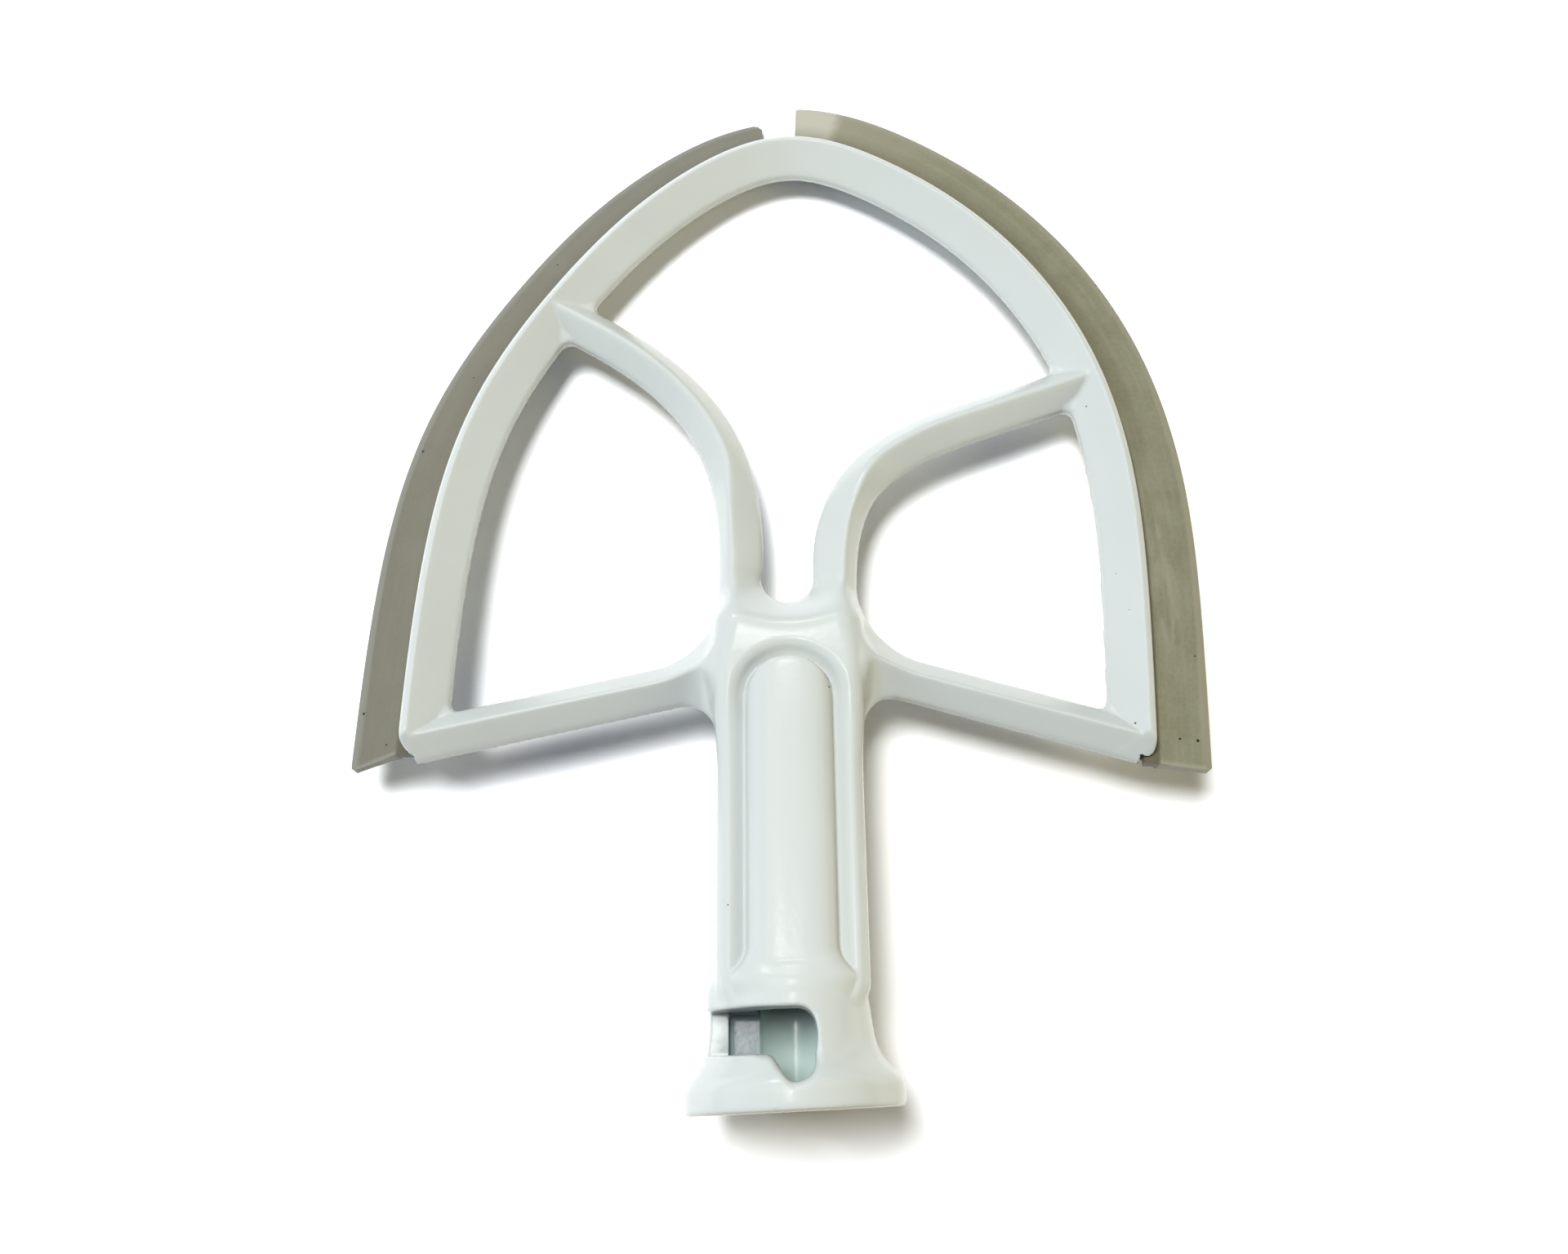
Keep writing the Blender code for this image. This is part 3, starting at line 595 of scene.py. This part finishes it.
shadeAndStainMarks = {
    "near": 0.15, "end": 0.2, "boreShadeFade": 0.5, "paintedKeywayShade": 0.9,           # painted shade in the keyway and on the bore's wall, mm from their walls
    "edgeBand": (-0.25, 0.25), "edgeFrom": 20.0, "edgeStain": 0.5,   # stained line along the right wiper
    "endBand": (0.6, 0.1), "endInner": 8.0,                          # darker brown band at the flange's end
}


def markShadeAndStain(mesh, points, field):  # painted shade in the keyway and on the bore's wall, a stained line along the right wiper, and a darker brown band at the flange's end
    x, y, z = points.T
    boreHalf, boreTop = casting["bore"]
    keyReach, keyHalf = casting["keyway"]
    near, end = shadeAndStainMarks["near"], shadeAndStainMarks["end"]
    # painted shade on the bore's wall
    paintedBoreShade = smoothStep(boreHalf + shadeAndStainMarks["boreShadeFade"], boreHalf + near, np.hypot(x, z)) * (y < boreTop + 1.0)
    inKeyway = ((np.abs(z) < keyHalf + near) & (x < 0.0) & (x > -keyReach - near)
                & (y < casting["slot"][1] + end) & (y > end))
    # painted shade in the keyway
    paintedKeywayShade = shadeAndStainMarks["paintedKeywayShade"] * inKeyway
    out = field.lookUp("arch", x, y)[1]
    rightEdge = smoothStep(*shadeAndStainMarks["edgeBand"], out) * (x > shadeAndStainMarks["edgeFrom"])
    # a darker brown band at the flange's end
    underside = smoothStep(*shadeAndStainMarks["endBand"], y - casting["flangeTilt"] * x)
    underside = underside * (np.hypot(x, z) > shadeAndStainMarks["endInner"])
    brownMark = np.maximum(shadeAndStainMarks["edgeStain"] * rightEdge, underside)
    wear = mesh.attributes.new("wear", "FLOAT_VECTOR", "POINT")
    wear.data.foreach_set("vector", np.column_stack([paintedKeywayShade, brownMark, paintedBoreShade]).astype(np.float32).ravel())


def makeCasting():
    field = CastingField()
    cell = casting["cell"]
    counts = [int(size / cell) + 1 for size in casting["netSize"]]
    low = np.array([*casting["netLow"], -cell * (counts[2] - 1) / 2])   # even in front and behind
    values = sampleField(field, low, counts, cell)
    points, quads = surfaceNet(values, low, cell)
    print("casting net:", len(points), "points")
    points, _ = field.settle(points, 2)
    rough = meshObject("castingNet", points, quads)
    thinning = rough.modifiers.new("thinning", "DECIMATE")
    thinning.ratio = min(1.0, casting["triangles"] / (2.0 * len(quads)))
    mesh = bakedMesh(rough)
    bpy.data.objects.remove(rough)
    flat = np.empty(len(mesh.vertices) * 3, np.float32)
    mesh.vertices.foreach_get("co", flat)
    points, normals = field.settle(flat.reshape(-1, 3).astype(float), 2)
    mesh.vertices.foreach_set("co", (points * mm).astype(np.float32).ravel())
    mesh.name = "beater_casting"
    mesh.polygons.foreach_set("use_smooth", np.ones(len(mesh.polygons), bool))
    mesh.update()
    mesh.normals_split_custom_set_from_vertices(normals.tolist())
    markShadeAndStain(mesh, points, field)
    made = bpy.data.objects.new("beater_casting", mesh)
    bpy.context.scene.collection.objects.link(made)
    print("casting:", len(mesh.vertices), "points,", len(mesh.polygons), "faces")
    return made


# wipers: a section swept along the arch

wiper = {
    "tip": 10.3, "seat": 0.8, "bevel": (1.3, 0.5), "rootRise": -0.3, "thickness": 2.2,
    "pad": 2.2, "padThickness": 1.3, "tongue": (1.4, 1.2), "edgeRound": 0.55,
    "ringStep": 0.6, "pathPoints": 400, "endGap": 5.8, "endReach": 8.0, "widenFrom": 0.45, "bendEnd": 0.7,
}
sides = {
    # rounding of the lower and upper outer corner, how much longer the outer edge is at each end,
    # and how much wider the blade gets towards the apex
    "left": {"sign": -1, "tipRise": -4.4, "overhang": -1.4, "middle": 0.25,
             "cornerRound": (1.0, 2.0), "longer": (2.0, 1.3), "wider": 0.6},
    "right": {"sign": 1, "tipRise": -0.2, "overhang": 0.3, "middle": 0.75,
              "cornerRound": (0.7, 0.8), "longer": (0.7, 0.0), "wider": 0.3},
}


def wiperSection(rise):  # the front face runs straight to the frame; a pad stands behind it
    w = wiper
    half = w["thickness"] / 2
    knee = w["seat"] + 2 * w["padThickness"]
    lift = w["rootRise"] + (rise - w["rootRise"]) * (knee - w["seat"]) / (w["tip"] - w["seat"])
    inner, tongue = w["tongue"]
    wide, deep = w["bevel"]
    upper = [(-inner, tongue), (w["seat"], tongue), (knee, lift + half),
             (w["tip"] - wide, rise + half), (w["tip"], rise + half - deep)]
    lower = [(-inner, -tongue), (w["seat"], -tongue), (w["seat"], -w["pad"]),
             (w["seat"] + w["padThickness"] / 2, -w["pad"]), (knee, lift - half), (w["tip"], rise - half)]
    return upper + lower[::-1]


def polyCurve(name, points, closed):
    data = bpy.data.curves.new(name, "CURVE")
    data.dimensions = "3D"
    line = data.splines.new("POLY")
    line.points.add(len(points) - 1)
    for spot, place in zip(line.points, points):
        spot.co = (*place, 1.0)
    line.use_cyclic_u = closed
    made = bpy.data.objects.new(name, data)
    bpy.context.scene.collection.objects.link(made)
    return made


def sweepTree():
    tree = bpy.data.node_groups.new("wiperSweep", "GeometryNodeTree")
    face = tree.interface
    face.new_socket("Path", in_out="INPUT", socket_type="NodeSocketGeometry")
    face.new_socket("Section", in_out="INPUT", socket_type="NodeSocketObject")
    face.new_socket("Edge Round", in_out="INPUT", socket_type="NodeSocketFloat")
    face.new_socket("Ring Step", in_out="INPUT", socket_type="NodeSocketFloat")
    face.new_socket("Material", in_out="INPUT", socket_type="NodeSocketMaterial")
    face.new_socket("Wiper", in_out="OUTPUT", socket_type="NodeSocketGeometry")
    sheet = Sheet(tree)
    given = tree.nodes.new("NodeGroupInput")
    take = {socket.name: Wire(sheet, socket) for socket in given.outputs}
    rings = sheet.node("GeometryNodeResampleCurve", {"mode": "LENGTH"},
                       {"Curve": take["Path"], "Length": take["Ring Step"]})
    upright = sheet.node("GeometryNodeSetCurveNormal", {"mode": "Z_UP"}, {"Curve": rings})
    outline = sheet.node("GeometryNodeObjectInfo", {}, {"Object": take["Section"]}, out="Geometry")
    rounded = sheet.node("GeometryNodeFilletCurve", {"mode": "POLY"},
                         {"Curve": outline, "Count": 3, "Radius": take["Edge Round"], "Limit Radius": True})
    skin = sheet.node("GeometryNodeCurveToMesh", {},
                      {"Curve": upright, "Profile Curve": rounded, "Fill Caps": True})
    smooth = sheet.node("GeometryNodeSetShadeSmooth", {}, {0: skin})
    whole = sheet.node("GeometryNodeRealizeInstances", {}, {0: smooth})
    done = sheet.node("GeometryNodeSetMaterial", {}, {"Geometry": whole, "Material": take["Material"]})
    result = tree.nodes.new("NodeGroupOutput")
    tree.links.new(done.socket, result.inputs[0])
    return tree


def setInputs(modifier, values):  # by identifier, before the first evaluation
    for item in modifier.node_group.interface.items_tree:
        if item.in_out == "INPUT" and item.name in values:
            modifier[item.identifier] = values[item.name]


def makeWiper(name, tree, material):
    side = sides[name]
    sign = side["sign"]
    low = -side["overhang"] if sign < 0 else arch.length + side["overhang"]
    high = axisMark + sign * wiper["endGap"] / 2
    marks = np.linspace(low, high, wiper["pathPoints"])
    line = [(*(arch.at(mark)[0] * mm), 0.0) for mark in marks]
    path = polyCurve(name + "Path", line, closed=False)
    outline = [(sign * u * mm, -z * mm, 0.0) for u, z in wiperSection(side["tipRise"])]
    section = polyCurve(name + "Section", outline, closed=True)
    sweep = path.modifiers.new("sweep", "NODES")
    sweep.node_group = tree
    setInputs(sweep, {"Section": section, "Edge Round": wiper["edgeRound"] * mm,
                      "Ring Step": wiper["ringStep"] * mm, "Material": material})
    mesh = bakedMesh(path)
    mesh.name = name + "_blade"
    bpy.data.objects.remove(path)
    bpy.data.objects.remove(section)
    shapeEnds(mesh, side, low, high)
    blade = bpy.data.objects.new(name + "_blade", mesh)
    bpy.context.scene.collection.objects.link(blade)
    return blade


def shapeEnds(mesh, side, low, high):  # rounds the outer corners, and notes each point's place on the blade
    flat = np.empty(len(mesh.vertices) * 3, np.float32)
    mesh.vertices.foreach_get("co", flat)
    points = flat.reshape(-1, 3) / mm
    along, out = bladePlace(points, low, high)
    place = np.column_stack([np.abs(along - low), out, points[:, 2]])
    reach = np.clip((out - wiper["seat"]) / (wiper["tip"] - wiper["seat"]), 0.0, 1.0)
    for which, (end, towards) in enumerate(((low, high), (high, low))):
        radius, longer = side["cornerRound"][which], side["longer"][which]
        inward = np.abs(along - end)
        near = np.clip(radius - inward, 0.0, radius)
        limit = wiper["tip"] - radius + np.sqrt(radius ** 2 - near ** 2)
        shift = np.minimum(limit - out, 0.0)
        push = longer * reach * smoothStep(wiper["endReach"], 0.0, inward) * np.sign(end - towards)
        for index in np.nonzero((inward < wiper["endReach"]) & ((shift < 0.0) | (push != 0.0)))[0]:
            _, direction, outward = arch.at(along[index])
            points[index, :2] += outward * shift[index] + direction * push[index]
    swell = side["wider"] * reach * smoothStep(wiper["widenFrom"], 1.0, np.abs(along - low) / abs(high - low))
    for index in np.nonzero(swell > 0.0)[0]:
        points[index, :2] += arch.at(along[index])[2] * swell[index]
    mesh.vertices.foreach_set("co", (points * mm).astype(np.float32).ravel())
    mark = mesh.attributes.new("blade", "FLOAT_VECTOR", "POINT")
    mark.data.foreach_set("vector", place.astype(np.float32).ravel())
    mesh.update()


def bladePlace(points, low, high):  # distance along the arch and outward from its edge
    along, out = arch.local(points[:, 0], points[:, 1])
    return np.clip(along, min(low, high), max(low, high)), out


def bendSpan(name):  # points across the middle of a blade, from its root to its tip
    middle, _, outward = arch.at(arch.length * sides[name]["middle"])
    return [(*((middle + outward * wiper[key]) * mm), 0.0) for key in ("seat", "tip")]


def weighRoot(blade):  # works out each point's share from the root towards the tip, from its place on the blade
    places = np.empty(len(blade.data.vertices) * 3, np.float32)
    blade.data.attributes["blade"].data.foreach_get("vector", places)
    share = smoothStep(wiper["seat"], wiper["bendEnd"] * wiper["tip"], places.reshape(-1, 3)[:, 1])


# materials

def mixed(sheet, share, first, second):  # colours
    return sheet.node("ShaderNodeMix", {"data_type": "RGBA"}, {0: share, 6: first, 7: second}, out=2)


def ramped(sheet, value, low, high):  # 0 below low, 1 above high, smooth between them
    return sheet.node("ShaderNodeMapRange", {"interpolation_type": "SMOOTHSTEP"},
                      {"Value": value, "From Min": low, "From Max": high})


def vectors(sheet, operation, first, second):
    return sheet.node("ShaderNodeVectorMath", {"operation": operation}, {0: first, 1: second})


def noise(sheet, place, scale, detail, **more):
    return sheet.node("ShaderNodeTexNoise", {}, {"Vector": place, "Scale": scale, "Detail": detail, **more})


def component(sheet, vector, letter):
    return sheet.node("ShaderNodeSeparateXYZ", {}, {0: vector}, out=letter)


speck = {"least": 0.6, "ragged": 0.8, "core": 0.55}   # its outline, and the share that is fully dark


def specksAt(sheet, place, spots, ragged):  # small dark marks at given points in mm, with a ragged outline
    total = None
    for x, y, size in spots:
        centred = vectors(sheet, "SUBTRACT", place, (x * mm, y * mm, 0.0))
        flatly = vectors(sheet, "MULTIPLY", centred, (1.0, 1.0, 0.0))
        away = sheet.node("ShaderNodeVectorMath", {"operation": "LENGTH"}, {0: flatly}, out="Value")
        grown = away * (speck["least"] + speck["ragged"] * ragged)
        mark = ramped(sheet, grown, size * mm, size * speck["core"] * mm)
        total = mark if total is None else total + mark
    return total


enamel = {
    "dark": (0.388, 0.410, 0.388, 1.0), "light": (0.434, 0.458, 0.434, 1.0),
    # painted shade: very dark in the keyway, a darker teal on the bore's wall
    "paintedKeywayShade": (0.105, 0.135, 0.135, 1.0), "bore": (0.318, 0.388, 0.356, 1.0),
    "brownMark": (0.30, 0.26, 0.15, 1.0), "speck": (0.03, 0.03, 0.025, 1.0),
    "specks": [(58.8, 61.1, 0.22), (58.7, 89.2, 0.10), (60.0, 81.8, 0.10),
               (56.6, 123.2, 0.17), (6.8, 67.0, 0.2), (-10.2, 31.0, 0.15)],   # x, y, size in mm
    "cloud": (35.0, 3.0), "peel": (900.0, 2.0),              # scale and detail of the noise
    "stainShare": (0.35, 0.5), "roughness": (0.19, 0.06),    # the least, and what the cloud adds
    "bump": {"Strength": 0.06, "Distance": 0.0004}, "specular": 0.5,
}


def coating():
    made, sheet = newMaterial("white_coating_gloss")
    place = sheet.node("ShaderNodeTexCoord", out="Object")
    cloud = noise(sheet, place, *enamel["cloud"])
    peel = noise(sheet, place, *enamel["peel"])
    wear = sheet.node("ShaderNodeAttribute", {"attribute_name": "wear"}, out="Vector")
    paintedKeywayShade, brownMark, bore = [component(sheet, wear, letter) for letter in "XYZ"]
    stops = [(0.0, enamel["dark"]), (1.0, enamel["light"])]
    shade = sheet.node("ShaderNodeValToRGB", {"stops": stops}, {"Fac": cloud})
    # painted shade on the bore's wall, a darker teal
    shade = mixed(sheet, bore, shade, enamel["bore"])
    # painted shade in the keyway
    shade = mixed(sheet, paintedKeywayShade, shade, enamel["paintedKeywayShade"])
    least, added = enamel["stainShare"]
    shade = mixed(sheet, brownMark * (least + added * cloud), shade, enamel["brownMark"])
    shade = mixed(sheet, specksAt(sheet, place, enamel["specks"], peel), shade, enamel["speck"])
    bump = sheet.node("ShaderNodeBump", {}, {**enamel["bump"], "Height": peel})
    least, added = enamel["roughness"]
    surface = sheet.node("ShaderNodeBsdfPrincipled", {},
                         {"Base Color": shade, "Roughness": least + added * cloud,
                          "Specular IOR Level": enamel["specular"], "Normal": bump})
    sheet.node("ShaderNodeOutputMaterial", {}, {"Surface": surface})
    return made


# the darkest colour, near the frame, is both painted shade from the frame and the dark line at the joint
rubbers = {
    "left": {"name": "grey_wiper_rubber", "smear": 0.0, "length": 151.6, "paleShare": 0.0,
             "dark": (0.114, 0.109, 0.080, 1.0), "light": (0.131, 0.126, 0.094, 1.0),
             "rim": (0.175, 0.175, 0.145, 1.0), "root": (0.085, 0.08, 0.058, 1.0),
             "pale": (0.2, 0.2, 0.17, 1.0),
             "specks": [(-75.2, 67.0, 0.3), (-69.7, 60.4, 0.25), (-45.1, 160.1, 0.3), (-60.0, 133.9, 0.2),
                        (-69.0, 118.9, 0.35)]},
    "right": {"name": "pale_grey_wiper_rubber", "smear": 0.6, "length": 159.4, "paleShare": 0.75,
              "dark": (0.134, 0.130, 0.082, 1.0), "light": (0.180, 0.175, 0.121, 1.0),
              "rim": (0.215, 0.205, 0.150, 1.0), "root": (0.085, 0.08, 0.05, 1.0),
              "pale": (0.36, 0.35, 0.29, 1.0),
              "specks": [(69.9, 58.6, 0.35), (66.9, 59.0, 0.25), (71.3, 73.9, 0.2)]},
}
rubberFinish = {
    "speck": (0.012, 0.011, 0.009, 1.0),
    "cloud": (160.0, 5.0), "cloudRoughness": 0.6, "grain": (1500.0, 2.0),   # scale and detail of the noise
    "streak": (0.035, 0.9, 0.0), "streakDetail": 5.0,                       # scale along and across the blade
    "smear": (0.10, 0.45, 0.0), "smearDetail": 6.0, "smearDistortion": 0.4,
    "shares": (0.36, 0.38, 0.26), "stops": (0.36, 0.64),    # of streak, cloud and grain; dark and light tone
    # bands in mm along the blade or out from the frame, from nothing to full
    "patchFrom": (16.0, 26.0), "patchTo": (64.0, 46.0), "patchOut": (7.5, 4.5), "patchSmear": (0.44, 0.62),
    "rim": (1.4, 0.6), "rimRagged": 0.8, "rimShare": 0.75,             # inwards from the tip
    "lowerEnd": (1.0, 0.3), "lowerEndShare": 0.8, "upperRub": (120.0, 158.0),
    "upperEnd": (7.0, 4.5), "upperEndRagged": 2.0,                     # back from the blade's end
    # painted shade on the blade, darker towards the frame; then the dark line at the joint
    "rootAlong": (30.0, 90.0), "rootOut": (6.5, 1.0), "rootShare": 0.6, "rootLine": (1.6, 0.9),
    "bump": {"Strength": 0.12, "Distance": 0.0003}, "roughness": (0.48, 0.14), "specular": 0.3,
}


def rubber(look):
    f = rubberFinish
    made, sheet = newMaterial(look["name"])
    place = sheet.node("ShaderNodeTexCoord", out="Object")
    # place on the blade in mm: along, out and height
    blade = sheet.node("ShaderNodeAttribute", {"attribute_name": "blade"}, out="Vector")
    along = component(sheet, blade, "X")
    out = component(sheet, blade, "Y")
    cloud = noise(sheet, place, *f["cloud"], Roughness=f["cloudRoughness"])
    grain = noise(sheet, place, *f["grain"])
    streak = noise(sheet, vectors(sheet, "MULTIPLY", blade, f["streak"]), 1.0, f["streakDetail"])
    smear = noise(sheet, vectors(sheet, "MULTIPLY", blade, f["smear"]), 1.0, f["smearDetail"],
                  Distortion=f["smearDistortion"])
    tone = f["shares"][0] * streak + f["shares"][1] * cloud + f["shares"][2] * grain
    stops = list(zip(f["stops"], (look["dark"], look["light"])))
    shade = sheet.node("ShaderNodeValToRGB", {"stops": stops}, {"Fac": tone})
    # a rubbed patch above the lower corner
    worn = ramped(sheet, along, *f["patchFrom"]) * ramped(sheet, along, *f["patchTo"])
    worn = worn * ramped(sheet, out, *f["patchOut"]) * look["smear"] * ramped(sheet, smear, *f["patchSmear"])
    shade = mixed(sheet, worn, shade, look["rim"])
    rimBand = [wiper["tip"] - inside for inside in f["rim"]]
    rim = f["rimShare"] * ramped(sheet, out + f["rimRagged"] * streak, *rimBand)
    shade = mixed(sheet, rim, shade, look["rim"])
    shade = mixed(sheet, f["lowerEndShare"] * ramped(sheet, along, *f["lowerEnd"]), shade, look["rim"])
    shade = mixed(sheet, look["smear"] * ramped(sheet, along, *f["upperRub"]), shade, look["rim"])
    endBand = [look["length"] - before for before in f["upperEnd"]]
    upperEnd = ramped(sheet, along + f["upperEndRagged"] * cloud, *endBand)
    shade = mixed(sheet, look["paleShare"] * upperEnd, shade, look["pale"])
    # painted shadow of the frame's crest on the blade, darker towards the frame
    rooted = f["rootShare"] * ramped(sheet, along, *f["rootAlong"]) * ramped(sheet, out, *f["rootOut"])
    shade = mixed(sheet, rooted, shade, look["root"])
    # the dark line at the joint with the frame
    shade = mixed(sheet, ramped(sheet, out, *f["rootLine"]), shade, look["root"])
    shade = mixed(sheet, specksAt(sheet, place, look["specks"], cloud), shade, f["speck"])
    bump = sheet.node("ShaderNodeBump", {}, {**f["bump"], "Height": grain})
    least, added = f["roughness"]
    surface = sheet.node("ShaderNodeBsdfPrincipled", {},
                         {"Base Color": shade, "Roughness": least + added * streak,
                          "Specular IOR Level": f["specular"], "Normal": bump})
    sheet.node("ShaderNodeOutputMaterial", {}, {"Surface": surface})
    return made


# stage

stage = {
    "cameraHeight": 0.216267, "focalPixels": 1588.0, "pictureWidth": 1920.0, "sensor": 36.0,
    "tilt": -20.50858, "lean": 0.47310, "spin": -0.78806,
    "floorHub": (0.0015, -0.0176), "floorApex": (0.193, -0.0050),   # the floor's y and z under each end
    "floorSize": 1.6, "floorMiddle": 0.1, "floorColour": (0.95, 0.95, 0.95, 1.0),
}


def makeCamera():
    data = bpy.data.cameras.new("camera")
    data.sensor_width = stage["sensor"]
    data.lens = stage["sensor"] * stage["focalPixels"] / stage["pictureWidth"]
    data.clip_start = 0.01
    data.clip_end = 10.0
    tilt, lean, spin = [Matrix.Rotation(math.radians(stage[key]), 3, axis)
                        for key, axis in (("tilt", "X"), ("lean", "Y"), ("spin", "Z"))]
    turn = tilt @ lean @ spin @ Matrix.Diagonal((1.0, -1.0, -1.0))
    right, down, ahead = turn[0], turn[1], turn[2]
    made = bpy.data.objects.new("camera", data)
    made.matrix_world = Matrix.Translation((0.0, 0.0, stage["cameraHeight"])) @ Matrix(
        (right, -down, -ahead)).transposed().to_4x4()
    bpy.context.scene.collection.objects.link(made)
    bpy.context.scene.camera = made


def makeFloor():
    (nearY, nearZ), (farY, farZ) = stage["floorHub"], stage["floorApex"]
    slope = (farZ - nearZ) / (farY - nearY)
    size = stage["floorSize"] / 2
    middle = stage["floorMiddle"]
    corners = [(x, y + middle, nearZ + slope * (y + middle - nearY)) for x, y in
               ((-size, -size), (size, -size), (size, size), (-size, size))]
    floor = meshObject("floor", np.array(corners), np.array([[0, 1, 2, 3]]))
    made, sheet = newMaterial("pale_floor")
    paint = sheet.node("ShaderNodeBsdfDiffuse", {}, {"Color": stage["floorColour"]})
    clear = sheet.node("ShaderNodeBsdfTransparent")   # the underside hides nothing
    back = sheet.node("ShaderNodeNewGeometry", out="Backfacing")
    both = sheet.node("ShaderNodeMixShader", {}, {0: back, 1: paint, 2: clear})
    sheet.node("ShaderNodeOutputMaterial", {}, {"Surface": both})
    floor.data.materials.append(made)


lights = {  # place, side in m, watts, colour
    "soft": {"key": ((-0.25, 0.24, 1.0), 0.44, 19.0, (0.965, 0.985, 1.0)),
             "fill": ((0.9, -0.15, 0.30), 0.5, 4.2, (1.0, 0.86, 0.38)),
             "left": ((-1.0, 0.1, 0.36), 0.5, 3.7, (0.80, 0.92, 1.0))},
    "glints": {"lamp": ((-0.08, 0.08, 1.0), 0.06, 0.7, (1.0, 1.0, 1.0)),
               "lampAbove": ((-0.03, 0.50, 1.0), 0.05, 0.60, (1.0, 1.0, 1.0)),
               "windowLeft": ((-0.38, 0.95, 0.75), 0.08, 1.1, (1.0, 1.0, 1.0)),
               "windowMiddle": ((-0.03, 0.95, 0.75), 0.08, 0.5, (1.0, 1.0, 1.0))},
    "target": (0.0, 0.1, 0.0), "world": (0.68, 0.66, 1.0, 1.0), "worldStrength": 0.10,
}


def areaLight(name, place, side, power, colour):
    data = bpy.data.lights.new(name, "AREA")
    data.shape = "RECTANGLE"
    data.size = side
    data.size_y = side
    data.energy = power
    data.color = colour
    made = bpy.data.objects.new(name, data)
    made.location = place
    made.rotation_mode = "QUATERNION"
    made.rotation_quaternion = (Vector(lights["target"]) - Vector(place)).to_track_quat("-Z", "Y")
    bpy.context.scene.collection.objects.link(made)
    return made


def makeLights():
    for name, look in lights["soft"].items():
        areaLight(name, *look).visible_glossy = False     # the small lights alone mirror in the coating
    for name, look in lights["glints"].items():
        areaLight(name, *look).visible_diffuse = False
    world = bpy.data.worlds.new("studio")
    world.use_nodes = True
    back = world.node_tree.nodes["Background"]
    back.inputs["Color"].default_value = lights["world"]
    back.inputs["Strength"].default_value = lights["worldStrength"]
    bpy.context.scene.world = world
    bpy.context.scene.view_settings.view_transform = "Standard"


# assembly

makeCamera()
body = makeCasting()
body.data.materials.append(coating())
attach(body, "frame")
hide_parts("beater_frame")

tree = sweepTree()
for name in sides:
    blade = makeWiper(name, tree, rubber(rubbers[name]))
    bendSpan(name)
    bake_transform(blade)
    weighRoot(blade)
    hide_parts(name + "_wiper")
    print("wiper:", name, len(blade.data.polygons), "faces")

makeFloor()
makeLights()
print("stage ready")
